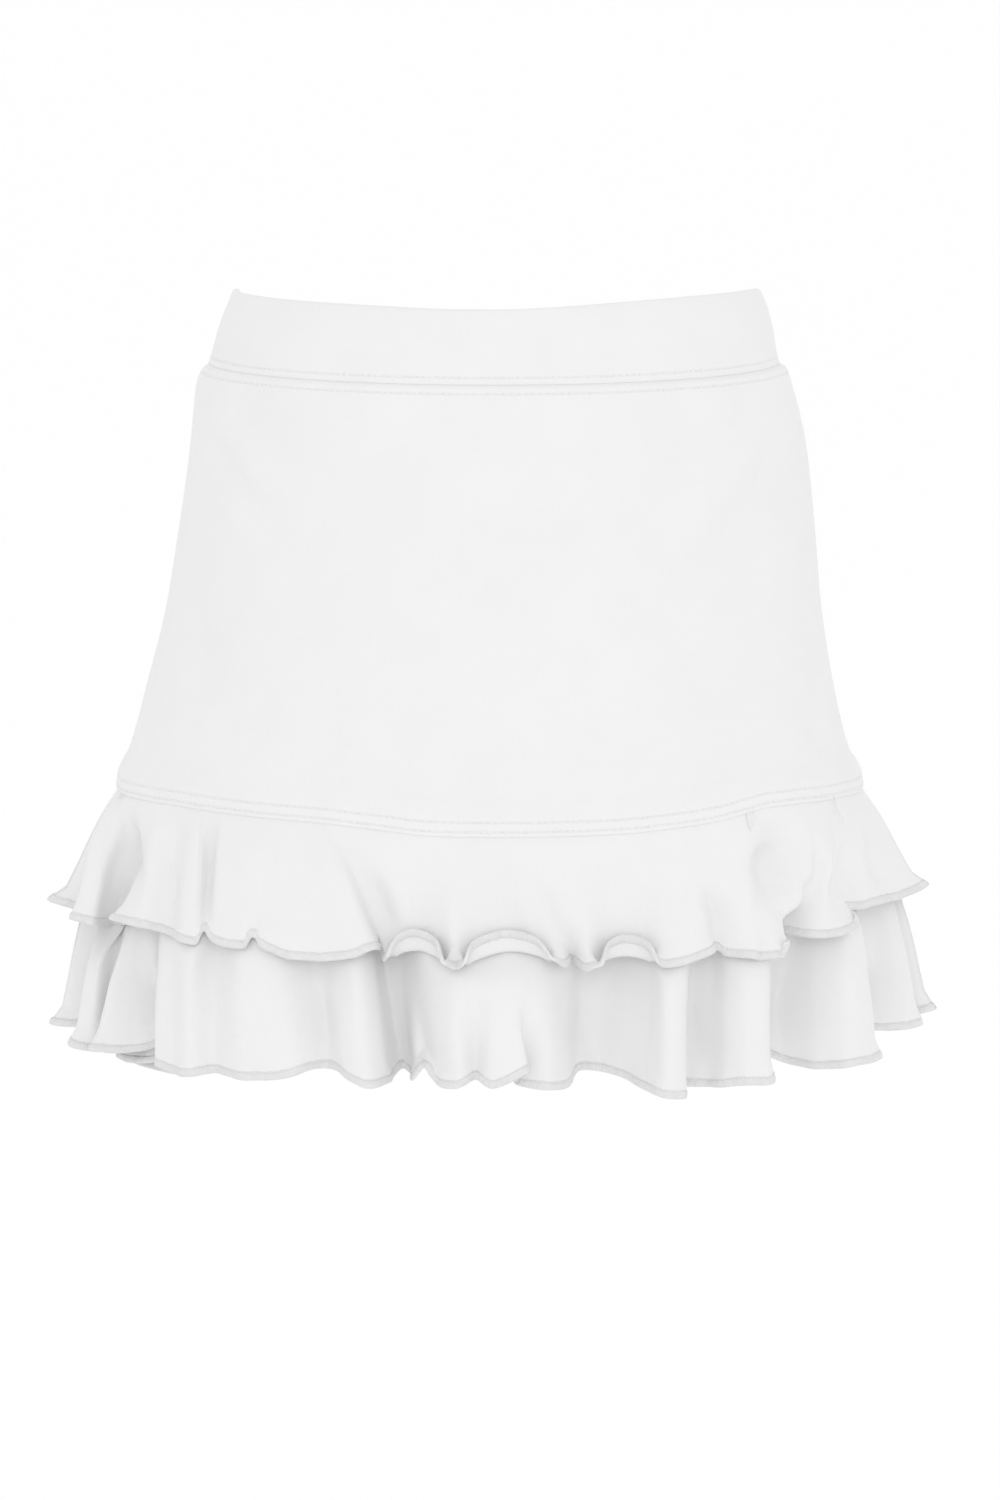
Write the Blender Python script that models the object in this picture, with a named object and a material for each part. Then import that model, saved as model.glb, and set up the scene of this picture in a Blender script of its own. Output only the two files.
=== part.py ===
"""Tennis skort: an elastic waistband, a smooth A-line skirt of two panels, a double
flounce (short upper tier over a longer lower one) sewn into one seam, and a plain pair
of shorts inside. Sizes are in millimetres and are turned into metres at the very end.

Frame: +Z up, -Y the front, +X the wearer's left. The origin is the centre of the
waist at half the height of the band. Angles go round the body from the centre front
(0) over +X (90) to the centre back (180); -90 is the other side seam.
"""

import math

import bpy
import numpy as np

# ---------------------------------------------------------------- named sizes, mm
BAND_HALF = 15.0            # half the height of the waistband
BAND_WALL = 3.0             # two layers of cloth round the elastic
BODY_WALL = 1.4
TIER_WALL = 1.1
SHORT_WALL = 1.2
SEAM_GAP = 0.3              # between pieces at every seam
SEAM_Z = -197.0             # folded lower edge of the skirt panels
TIER_TOP_Z = SEAM_Z - 0.5   # both tiers start just under it
BACK_DIP = 17.5             # the waist hangs this much lower at the centre back
CROTCH_RISE_Z = -118.0      # the centre seams of the shorts start to curve under here
CROTCH_Z = -188.0
SIDE_GAP_DEG = 0.09         # half the seam gap at the sides, as an angle

BODY_COLUMNS = 48
BAND_COLUMNS = 48
SHORT_COLUMNS = 16
SUBCOLUMNS = 3              # columns between a crest and the next valley

# Rings of the band and the skirt, outer face.
# z, half width right of the axis (+X), half width left of it (-X), depth front, depth back
RINGS = [
    (15.0, 110.8, 109.6, 80.0, 82.0),
    (8.0, 113.6, 112.6, 82.0, 84.2),
    (0.0, 115.8, 115.6, 83.8, 86.2),
    (-10.0, 118.0, 118.8, 86.0, 88.6),
    (-15.0, 119.4, 120.4, 87.0, 89.8),
    (-16.0, 121.6, 121.8, 88.4, 91.2),
    (-23.0, 124.2, 125.2, 90.6, 93.6),
    (-48.0, 130.3, 127.8, 94.0, 97.6),
    (-82.0, 134.4, 132.4, 97.8, 102.0),
    (-117.0, 137.6, 138.4, 101.2, 105.6),
    (-150.0, 142.6, 147.0, 105.8, 109.6),
    (-180.0, 149.8, 155.4, 111.2, 114.6),
    (-188.0, 154.8, 159.6, 114.8, 118.2),
    (-197.0, 156.6, 161.2, 117.0, 120.4),
]

# Heights that vary round the body: angle, lift of the band's top edge, lift of the
# seam that carries the tiers.
LIFTS = [
    (-100.0, 0.0, 0.0), (-84.0, 0.6, 0.3), (-62.0, 1.0, 2.9), (-54.0, 1.0, 3.8),
    (-40.0, 1.0, 3.8), (-29.0, 0.8, 3.8), (-19.0, 0.4, 2.4), (-9.0, 0.0, 0.2),
    (0.0, 0.0, 0.0), (18.0, 1.2, 0.1), (29.0, 2.1, 1.3), (36.0, 2.5, 2.5),
    (41.0, 2.7, 4.2), (46.0, 2.9, 5.6), (53.0, 2.9, 5.2), (60.0, 2.8, 4.0),
    (69.0, 2.6, 2.9), (83.0, 1.8, 0.6), (100.0, 0.6, 0.0), (125.0, 0.0, 0.0),
]

# One row a fold. The crest, then the valley after it, each with: where its line starts
# on the seam (degrees), where it ends at the hem (degrees), how far the hem stands out
# from the seam's ring, and how far it hangs below it.
#    crest: seam  hem    out   drop | valley: seam  hem    out   drop
UPPER_FOLDS = [
    (-92.0, -88.0, 28.0, 48.0, -83.5, -85.0, 14.0, 52.5),
    (-77.0, -66.5, 25.0, 48.0, -71.5, -72.0, 7.0, 52.0),
    (-65.0, -57.7, 24.0, 46.5, -57.0, -50.9, 17.0, 48.8),
    (-49.0, -37.8, 21.0, 49.0, -42.0, -34.5, 15.0, 47.2),
    (-36.0, -27.6, 23.0, 51.0, -30.5, -21.3, 23.0, 50.5),
    (-26.0, -15.4, 24.0, 45.5, -21.0, -16.5, 4.0, 48.0),
    (-16.5, -13.6, 14.0, 50.0, -11.5, -10.3, 8.0, 44.7),
    (-5.5, -4.9, 20.0, 50.0, 1.5, 1.8, 8.5, 43.6),
    (7.5, 9.0, 17.0, 49.6, 11.5, 11.4, 7.0, 48.2),
    (15.0, 13.4, 13.5, 51.0, 20.0, 18.5, 8.0, 47.3),
    (29.0, 24.5, 21.0, 51.5, 37.0, 32.5, 8.0, 51.0),
    (43.0, 36.0, 20.0, 54.0, 51.0, 47.3, 4.5, 54.0),
    (59.0, 51.8, 20.0, 53.4, 68.0, 64.8, 9.0, 48.0),
    (74.0, 66.5, 18.0, 43.2, 80.5, 77.5, 15.0, 44.8),
    (89.5, 88.0, 26.0, 44.6, 99.0, 98.5, 10.0, 45.0),
    (109.0, 108.0, 22.0, 47.0, 118.0, 117.0, 7.0, 46.0),
    (129.0, 131.0, 24.0, 48.0, 138.0, 137.5, 10.0, 45.5),
    (149.0, 148.0, 20.0, 47.0, 157.0, 157.5, 6.0, 46.0),
    (166.0, 168.0, 23.0, 48.0, 175.5, 174.5, 11.0, 45.0),
    (186.0, 184.0, 21.0, 47.0, 195.0, 194.5, 7.0, 46.0),
    (205.0, 203.0, 24.0, 48.0, 214.0, 213.5, 10.0, 45.5),
    (224.0, 225.0, 19.5, 47.0, 233.0, 232.5, 6.0, 46.5),
    (243.0, 242.0, 23.0, 47.5, 255.0, 255.5, 9.5, 47.0),
]
LOWER_FOLDS = [
    (-92.0, -87.0, 29.5, 100.5, -83.5, -83.5, 13.0, 101.0),
    (-77.5, -68.5, 26.0, 102.0, -72.5, -73.5, 4.5, 104.0),
    (-67.5, -62.4, 27.5, 101.3, -62.5, -57.5, 6.0, 108.0),
    (-56.0, -45.0, 23.0, 105.0, -47.0, -40.0, 18.0, 103.0),
    (-39.0, -30.5, 24.0, 101.6, -29.0, -23.2, 12.0, 97.3),
    (-21.5, -16.3, 25.0, 100.9, -15.0, -13.2, -1.0, 97.8),
    (-6.5, -6.0, 20.0, 98.6, -2.2, -2.4, 16.0, 95.1),
    (2.0, 0.4, 19.0, 98.1, 6.0, 3.8, 13.5, 95.3),
    (10.5, 7.9, 17.0, 99.8, 16.0, 14.2, 8.0, 94.1),
    (27.5, 23.9, 27.0, 104.8, 34.0, 30.8, 1.5, 106.0),
    (43.0, 37.8, 21.5, 108.0, 52.0, 47.5, 0.0, 103.0),
    (63.0, 55.2, 22.0, 106.3, 73.0, 73.5, 6.0, 103.0),
    (81.0, 80.0, 17.5, 101.5, 86.5, 85.5, 15.0, 100.0),
    (92.0, 90.5, 29.0, 97.0, 100.5, 99.5, 9.0, 97.0),
    (110.0, 109.0, 24.0, 98.0, 119.0, 118.5, 4.0, 97.0),
    (130.0, 131.0, 26.0, 99.0, 140.0, 140.0, 7.0, 97.0),
    (150.0, 149.0, 23.0, 98.0, 159.0, 158.5, 3.5, 97.0),
    (169.0, 170.0, 25.0, 99.0, 178.0, 177.5, 8.0, 97.0),
    (187.0, 186.0, 22.0, 98.0, 196.0, 196.5, 3.5, 97.0),
    (205.0, 206.0, 26.0, 99.0, 214.0, 214.5, 8.0, 97.0),
    (224.0, 223.5, 21.0, 98.0, 233.0, 233.5, 3.5, 97.5),
    (244.0, 244.0, 26.0, 99.0, 257.0, 257.5, 9.0, 99.0),
]
# Share of the way out and of the way down, from the seam to the hem, row by row.
UPPER_ROWS = [(0.0, 0.0), (0.36, 0.32), (0.69, 0.68), (1.0, 1.0)]
LOWER_ROWS = [(0.0, 0.0), (0.32, 0.22), (0.56, 0.45), (0.75, 0.66), (0.88, 0.84), (1.0, 1.0)]
TIER_CLEAR = 2.3            # least distance between the two tiers, middle to middle

# Inner shorts, middle of the wall.
# z at the side, half width, depth front, depth back, leg's inner edge, leg's depth
SHORT_ROWS = [
    (-15.8, 117.4, 84.6, 87.2, 0.0, 0.0),
    (-40.0, 119.6, 86.2, 89.8, 0.0, 0.0),
    (-78.0, 122.6, 88.4, 93.4, 0.0, 0.0),
    (-118.0, 126.0, 90.0, 95.0, 0.0, 0.0),
    (-146.0, 129.0, 91.5, 96.0, 1.0, 84.0),
    (-168.0, 129.6, 91.0, 94.0, 1.5, 84.0),
    (-181.0, 129.8, 90.0, 92.0, 2.0, 84.0),
    (-188.0, 129.8, 89.0, 90.0, 2.5, 84.0),
    (-206.0, 129.4, 86.0, 88.0, 4.5, 84.0),
    (-226.0, 128.2, 84.0, 86.0, 7.0, 83.0),
    (-240.0, 127.0, 83.0, 85.0, 9.0, 82.0),
]


# ---------------------------------------------------------------- shape functions
def smooth_step(x):
    x = min(max(x, 0.0), 1.0)
    return x * x * (3.0 - 2.0 * x)


def turn(deg):
    """The angle brought into -180..180."""
    return (deg + 180.0) % 360.0 - 180.0


def curve(columns, at):
    """A smooth curve through (x, y) rows that doesn't overshoot them."""
    xs, ys = columns
    if at <= xs[0]:
        return ys[0]
    if at >= xs[-1]:
        return ys[-1]
    i = int(np.searchsorted(xs, at, side="right")) - 1
    slopes = [(ys[k + 1] - ys[k]) / (xs[k + 1] - xs[k]) for k in range(len(xs) - 1)]

    def tangent(k):
        if k == 0:
            return slopes[0]
        if k == len(xs) - 1:
            return slopes[-1]
        before, after = slopes[k - 1], slopes[k]
        return 0.0 if before * after <= 0 else 2.0 * before * after / (before + after)

    width = xs[i + 1] - xs[i]
    t = (at - xs[i]) / width
    return (
        (2 * t**3 - 3 * t**2 + 1) * ys[i]
        + (t**3 - 2 * t**2 + t) * width * tangent(i)
        + (3 * t**2 - 2 * t**3) * ys[i + 1]
        + (t**3 - t**2) * width * tangent(i + 1)
    )


def column(rows, index):
    return [row[0] for row in rows], [row[index] for row in rows]


UP = sorted(RINGS)
SIZES = [column(UP, index) for index in range(1, 5)]
TOP_LIFT = column(LIFTS, 1)
SEAM_LIFT = column(LIFTS, 2)


def halves(z):
    """Half widths and depths of the outer face at a height."""
    return [curve(size, z) for size in SIZES]


def ellipse(right, left, front, back, deg):
    """A point of a four-quarter ellipse."""
    x, y = math.sin(math.radians(deg)), -math.cos(math.radians(deg))
    # the widths change over smoothly at the centre front and back
    wide = right if x > 0 else left
    deep = back if y > 0 else front
    return np.array([wide * x, deep * y])


def back_share(deg):
    """0 over the front half, rising over the back half to 1 at the centre back."""
    y = -math.cos(math.radians(deg))
    return 0.5 * (y + math.sqrt(y * y + 0.010)) - 0.0025


def height(z, deg):
    """The height of a level ring's point once the waist's dip and the lifts act on it."""
    dip = BACK_DIP * back_share(deg) * smooth_step((z + 170.0) / 150.0)
    top = curve(TOP_LIFT, turn(deg)) * smooth_step((z + BAND_HALF) / (2.0 * BAND_HALF))
    seam = curve(SEAM_LIFT, turn(deg)) * smooth_step((-70.0 - z) / 127.0)
    return z - dip + top + seam


def ring_point(z, deg, inwards):
    right, left, front, back = halves(z)
    flat = ellipse(right - inwards, left - inwards, front - inwards, back - inwards, deg)
    return np.array([flat[0], flat[1], height(z, deg)])


def seam_point(deg, inwards):
    """A point of the skirt's lower edge as its flat facets run, so that the tiers
    start evenly under it."""
    step = 360.0 / BODY_COLUMNS
    low = math.floor(deg / step) * step
    share = (deg - low) / step
    a, b = ring_point(SEAM_Z, low, inwards), ring_point(SEAM_Z, low + step, inwards)
    return a + (b - a) * share


def band_outline():
    """(z, depth in from the outer face) of the band's section, once round."""
    return [
        (-BAND_HALF, 0.0),
        (-5.0, 0.0),
        (5.0, 0.0),
        (BAND_HALF - 1.2, 0.0),
        (BAND_HALF, 1.0),
        (BAND_HALF, BAND_WALL - 1.0),
        (BAND_HALF - 1.2, BAND_WALL),
        (0.0, BAND_WALL),
        (-BAND_HALF, BAND_WALL),
    ]


# ---------------------------------------------------------------- the tiers
def fold_line(folds):
    """The folds' crests and valleys in order, as rows (seam, hem, out, drop)."""
    rows = []
    for fold in folds:
        rows.append(fold[:4])
        rows.append(fold[4:])
    return rows


def hem_point(row):
    seam, hem, out, drop = row
    right, left, front, back = halves(SEAM_Z)
    flat = ellipse(right + out, left + out, front + out, back + out, hem)
    lift = curve(SEAM_LIFT, turn(seam))
    return np.array([flat[0], flat[1], TIER_TOP_Z + lift - drop])


def closed_spline(points, segment, t):
    """Catmull-Rom through a closed list, with tangents scaled to the shorter side so
    that a tight fold doesn't bulge."""
    n = len(points)
    p0, p1, p2, p3 = (points[(segment + k) % n] for k in (-1, 0, 1, 2))
    mid = np.linalg.norm(p2 - p1)

    def tangent(a, b, c):
        before, after = np.linalg.norm(b - a), np.linalg.norm(c - b)
        chord = (b - a) / before * after + (c - b) / after * before
        return chord / (before + after)

    m1 = tangent(p0, p1, p2) * mid * 0.85
    m2 = tangent(p1, p2, p3) * mid * 0.85
    return (
        (2 * t**3 - 3 * t**2 + 1) * p1
        + (t**3 - 2 * t**2 + t) * m1
        + (3 * t**2 - 2 * t**3) * p2
        + (t**3 - t**2) * m2
    )


class Tier:
    def __init__(self, folds, rows, inwards, clear_of=None):
        self.rows = rows
        self.inwards = inwards
        self.line = fold_line(folds)
        self.hems = [hem_point(row) for row in self.line]
        self.clear_of = clear_of
        self.envelope = None

    def seam_degree(self, segment, t):
        n = len(self.line)
        a = self.line[segment % n][0] + 360.0 * (segment // n)
        b = self.line[(segment + 1) % n][0] + 360.0 * ((segment + 1) // n)
        return a + (b - a) * t

    def point(self, segment, t, row):
        """The middle of the wall at a place along the tier and a row down it."""
        out, down = row
        deg = self.seam_degree(segment, t)
        top = seam_point(deg, self.inwards)
        top[2] += TIER_TOP_Z - SEAM_Z
        hem = closed_spline(self.hems, segment % len(self.line), t)
        place = np.array(
            [
                top[0] + (hem[0] - top[0]) * out,
                top[1] + (hem[1] - top[1]) * out,
                top[2] + (hem[2] - top[2]) * down,
            ]
        )
        if self.clear_of is not None and down > 0:
            place = self.clear_of.pushed_out(place, TIER_CLEAR)
        return place

    def build_envelope(self):
        """How far out the tier reaches, by height (2 mm steps) and angle (1 degree)."""
        steps = 12
        fine = [i / steps for i in range(steps)]
        rows = []
        for k in range(len(self.rows) - 1):
            for part in range(4):
                f = part / 4.0
                a, b = self.rows[k], self.rows[k + 1]
                rows.append((a[0] + (b[0] - a[0]) * f, a[1] + (b[1] - a[1]) * f))
        rows.append(self.rows[-1])
        layers = []
        for row in rows:
            reach = np.zeros(360)
            level = np.zeros(360)
            for segment in range(len(self.line)):
                for t in fine:
                    p = self.point(segment, t, row)
                    angle = int(round(math.degrees(math.atan2(p[0], -p[1])))) % 360
                    far = math.hypot(p[0], p[1])
                    if far > reach[angle]:
                        reach[angle] = far
                        level[angle] = p[2]
            filled = np.flatnonzero(reach)
            reach = np.interp(np.arange(360), filled, reach[filled], period=360)
            level = np.interp(np.arange(360), filled, level[filled], period=360)
            wide = np.maximum(reach, np.maximum(np.roll(reach, 1), np.roll(reach, -1)))
            layers.append((level, wide))
        self.envelope = layers

    def reach_at(self, angle, z):
        low = int(math.floor(angle)) % 360
        f = angle - math.floor(angle)
        high = (low + 1) % 360
        levels = [(1 - f) * level[low] + f * level[high] for level, _ in self.envelope]
        reaches = [(1 - f) * reach[low] + f * reach[high] for _, reach in self.envelope]
        return float(np.interp(-z, [-level for level in levels], reaches))

    def pushed_out(self, place, clear):
        if self.envelope is None:
            self.build_envelope()
        far = math.hypot(place[0], place[1])
        angle = math.degrees(math.atan2(place[0], -place[1])) % 360.0
        least = self.reach_at(angle, place[2]) + clear
        gap = far - least
        new = least + 0.5 * (gap + math.sqrt(gap * gap + 1.0))
        start = self.envelope[0][0].max()
        share = smooth_step((start - place[2]) / 5.0)
        new = far + (new - far) * share
        return np.array([place[0] * new / far, place[1] * new / far, place[2]])


# ---------------------------------------------------------------- meshes
def normals_of(grid, closed):
    rows, columns, _ = grid.shape
    across = np.empty_like(grid)
    if closed:
        across = np.roll(grid, -1, axis=1) - np.roll(grid, 1, axis=1)
    else:
        across[:, 1:-1] = grid[:, 2:] - grid[:, :-2]
        across[:, 0] = grid[:, 1] - grid[:, 0]
        across[:, -1] = grid[:, -1] - grid[:, -2]
    down = np.empty_like(grid)
    down[1:-1] = grid[2:] - grid[:-2]
    down[0] = grid[1] - grid[0]
    down[-1] = grid[-1] - grid[-2]
    normal = np.cross(down, across)
    return normal / np.linalg.norm(normal, axis=2, keepdims=True)


def make_object(name, points, faces, collection):
    mesh = bpy.data.meshes.new(name)
    mesh.from_pydata([tuple(p / 1000.0) for p in points], [], faces)
    mesh.validate()
    mesh.update()
    obj = bpy.data.objects.new(name, mesh)
    material = bpy.data.materials.new(name + "_cloth")
    material.use_nodes = True
    shader = material.node_tree.nodes["Principled BSDF"]
    shader.inputs["Base Color"].default_value = (0.86, 0.86, 0.86, 1.0)
    shader.inputs["Roughness"].default_value = 0.85
    mesh.materials.append(material)
    collection.objects.link(obj)
    return obj


def wall(name, grid, thickness, closed, collection, spare=0, level_rows=(0,)):
    """A closed solid of even thickness either side of a grid (rows down, columns
    round to the +X side), with its rim all round. Spare columns at both ends only
    help to find the way the end columns face. The level rows are sewn edges, whose
    rim keeps its height."""
    normal = normals_of(grid, closed)
    for row in level_rows:
        normal[row, :, 2] = 0.0
        normal[row] /= np.linalg.norm(normal[row], axis=1, keepdims=True)
    if spare:
        grid, normal = grid[:, spare:-spare], normal[:, spare:-spare]
    rows, columns, _ = grid.shape
    outer = grid + normal * thickness / 2.0
    inner = grid - normal * thickness / 2.0
    points = np.concatenate([outer.reshape(-1, 3), inner.reshape(-1, 3)])
    base = rows * columns
    faces = []
    spans = columns if closed else columns - 1
    for r in range(rows - 1):
        for c in range(spans):
            n = (c + 1) % columns
            a, b = r * columns + c, r * columns + n
            d, e = (r + 1) * columns + c, (r + 1) * columns + n
            faces.append((a, d, e, b))
            faces.append((base + a, base + b, base + e, base + d))
    for c in range(spans):
        n = (c + 1) % columns
        faces.append((c, n, base + n, base + c))
        low = (rows - 1) * columns
        faces.append((low + c, base + low + c, base + low + n, low + n))
    if not closed:
        for r in range(rows - 1):
            a, d = r * columns, (r + 1) * columns
            faces.append((a, base + a, base + d, d))
            a, d = a + columns - 1, d + columns - 1
            faces.append((a, d, base + d, base + a))
    return make_object(name, points, faces, collection)


def skirt_panel(name, start, end, collection):
    heights = [-15.4, -19.0, -26.0, -56.0, -92.0, -130.0, -166.0, -180.0, -188.0, SEAM_Z]
    degrees = np.linspace(start, end, BODY_COLUMNS // 2 + 1)
    degrees[0] += SIDE_GAP_DEG
    degrees[-1] -= SIDE_GAP_DEG
    grid = np.array(
        [[ring_point(z, deg, BODY_WALL / 2.0) for deg in degrees] for z in heights]
    )
    return wall(name, grid, BODY_WALL, False, collection, level_rows=(0, -1))


def waistband(collection):
    outline = band_outline()
    degrees = [360.0 * k / BAND_COLUMNS for k in range(BAND_COLUMNS)]
    points, faces = [], []
    for z, inwards in outline:
        points.extend(ring_point(z, deg, inwards) for deg in degrees)
    count = len(outline)
    for r in range(count):
        for c in range(BAND_COLUMNS):
            n = (c + 1) % BAND_COLUMNS
            a, b = r * BAND_COLUMNS + c, r * BAND_COLUMNS + n
            s = (r + 1) % count
            d, e = s * BAND_COLUMNS + c, s * BAND_COLUMNS + n
            faces.append((a, b, e, d))
    return make_object("waistband", np.array(points), faces, collection)


def tier_panels(names, tier, front_segments, side_shift, collection):
    """The front and the back of a tier, cut apart at two crests at the sides."""
    count = len(tier.line)
    objects = []
    spans = [(0, front_segments), (front_segments, count)]
    for name, (first, last) in zip(names, spans):
        stations = []
        for segment in range(first, last):
            for part in range(SUBCOLUMNS):
                stations.append((segment, part / SUBCOLUMNS))
        stations[0] = (first, side_shift)
        stations.append((last - 1, 1.0 - side_shift))
        spare = 2.0 * side_shift
        stations.insert(0, ((first - 1) % count, 1.0 + side_shift - spare))
        stations.append((last % count, spare - side_shift))
        grid = np.array(
            [[tier.point(s, t, row) for s, t in stations] for row in tier.rows]
        )
        objects.append(wall(name, grid, TIER_WALL, False, collection, spare=1))
    return objects


def short_point(row, v):
    """A point of the shorts' right-hand leg (+X); v runs 0 at the front seam, over the
    side, to 1 at the back seam."""
    z, wide, front, back, inner, leg_deep = row
    s = (CROTCH_RISE_Z - z) / (CROTCH_RISE_Z - CROTCH_Z)
    s = min(max(s, 0.0), 1.0)
    legness = 1.0 - math.sqrt(max(0.0, 1.0 - s * s))
    angle = math.pi * v
    deep = front if angle < math.pi / 2 else back
    half = np.array([wide * math.sin(angle), -deep * math.cos(angle)])
    half[0] = max(half[0], SEAM_GAP)
    turn_angle = 2.0 * math.pi * v * 0.994 + 2.0 * math.pi * 0.003
    centre = (inner + wide) / 2.0
    radius = (wide - inner) / 2.0
    leg = np.array(
        [centre - radius * math.cos(turn_angle), -leg_deep * math.sin(turn_angle)]
    )
    flat = half * (1.0 - legness) + leg * legness
    flat[0] = max(flat[0], SEAM_GAP + SHORT_WALL / 2.0)
    deg = math.degrees(math.atan2(flat[0] / wide, -flat[1] / deep))
    return np.array([flat[0], flat[1], height(z, deg)])


def short_legs(collection):
    places = np.linspace(0.0, 1.0, SHORT_COLUMNS + 1)
    grid = np.array([[short_point(row, v) for v in places] for row in SHORT_ROWS])
    mirrored = grid[:, ::-1] * np.array([-1.0, 1.0, 1.0])
    return [
        wall("short_leg_left", grid, SHORT_WALL, False, collection),
        wall("short_leg_right", mirrored, SHORT_WALL, False, collection),
    ]


def main():
    for obj in list(bpy.data.objects):
        bpy.data.objects.remove(obj, do_unlink=True)
    collection = bpy.data.collections.new("tennis_skort")
    bpy.context.scene.collection.children.link(collection)

    waistband(collection)
    skirt_panel("skirt_front", -90.0, 90.0, collection)
    skirt_panel("skirt_back", 90.0, 270.0, collection)

    lower = Tier(LOWER_FOLDS, LOWER_ROWS, BODY_WALL / 2.0 + 2.0)
    upper = Tier(UPPER_FOLDS, UPPER_ROWS, BODY_WALL / 2.0 + 0.2, clear_of=lower)
    tier_panels(("upper_ruffle_front", "upper_ruffle_back"), upper, 28, 0.03, collection)
    tier_panels(("lower_ruffle_front", "lower_ruffle_back"), lower, 26, 0.035, collection)
    short_legs(collection)


main()
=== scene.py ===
"""Looks of the tennis skort: soft cloth shells on the forms of the CAD solids, rolled
overlock edges, coverstitched seams, materials, light and camera.

Sizes are in millimetres in the tables and functions, and turn into metres where a mesh
is made. Angles go round the body from the centre front (0) over +X (90) to the centre
back (180).
"""

import math

import bpy
import numpy as np
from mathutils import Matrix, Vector

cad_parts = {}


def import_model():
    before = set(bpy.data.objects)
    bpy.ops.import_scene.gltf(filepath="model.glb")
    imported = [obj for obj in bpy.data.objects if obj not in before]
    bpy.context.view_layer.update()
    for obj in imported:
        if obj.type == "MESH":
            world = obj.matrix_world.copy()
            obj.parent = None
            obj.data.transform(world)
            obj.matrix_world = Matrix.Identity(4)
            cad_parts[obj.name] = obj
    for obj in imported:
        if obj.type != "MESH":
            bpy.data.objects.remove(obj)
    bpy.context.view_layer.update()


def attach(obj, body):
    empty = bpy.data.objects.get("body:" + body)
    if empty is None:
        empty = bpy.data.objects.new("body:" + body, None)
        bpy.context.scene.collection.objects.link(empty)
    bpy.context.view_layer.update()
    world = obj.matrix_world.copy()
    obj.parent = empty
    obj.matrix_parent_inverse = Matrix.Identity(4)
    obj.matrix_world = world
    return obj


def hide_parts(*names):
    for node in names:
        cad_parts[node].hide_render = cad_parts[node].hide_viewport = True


# ================================================================ sizes, as in the CAD
BAND_HALF = 15.0
BAND_WALL = 3.0
BODY_WALL = 1.4
SEAM_GAP = 0.3
SHORT_WALL = 1.2
SEAM_Z = -197.0
TIER_TOP_Z = SEAM_Z - 0.5
BACK_DIP = 17.5
CROTCH_RISE_Z = -118.0
CROTCH_Z = -188.0

# z, half width right of the axis (+X), half width left of it, depth front, depth back
RINGS = [
    (-197.0, 156.6, 161.2, 117.0, 120.4),
    (-188.0, 154.8, 159.6, 114.8, 118.2),
    (-180.0, 149.8, 155.4, 111.2, 114.6),
    (-150.0, 142.6, 147.0, 105.8, 109.6),
    (-117.0, 137.6, 138.4, 101.2, 105.6),
    (-82.0, 134.4, 132.4, 97.8, 102.0),
    (-48.0, 130.3, 127.8, 94.0, 97.6),
    (-23.0, 124.2, 125.2, 90.6, 93.6),
    (-16.0, 121.6, 121.8, 88.4, 91.2),
    (-15.0, 119.4, 120.4, 87.0, 89.8),
    (-10.0, 118.0, 118.8, 86.0, 88.6),
    (0.0, 115.8, 115.6, 83.8, 86.2),
    (8.0, 113.6, 112.6, 82.0, 84.2),
    (15.0, 110.8, 109.6, 80.0, 82.0),
]

# angle, lift of the band's top edge, lift of the seam that carries the tiers
LIFTS = [
    (-180.0, 0.0, 0.0), (-100.0, 0.0, 0.0), (-84.0, 0.6, 0.3), (-62.0, 1.0, 2.9),
    (-54.0, 1.0, 3.8), (-40.0, 1.0, 3.8), (-29.0, 0.8, 3.8), (-19.0, 0.4, 2.4),
    (-9.0, 0.0, 0.2), (0.0, 0.0, 0.0), (18.0, 1.2, 0.1), (29.0, 2.1, 1.3),
    (36.0, 2.5, 2.5), (41.0, 2.7, 4.2), (46.0, 2.9, 5.6), (53.0, 2.9, 5.2),
    (60.0, 2.8, 4.0), (69.0, 2.6, 2.9), (83.0, 1.8, 0.6), (100.0, 0.6, 0.0),
    (125.0, 0.0, 0.0), (180.0, 0.0, 0.0),
]

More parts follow.
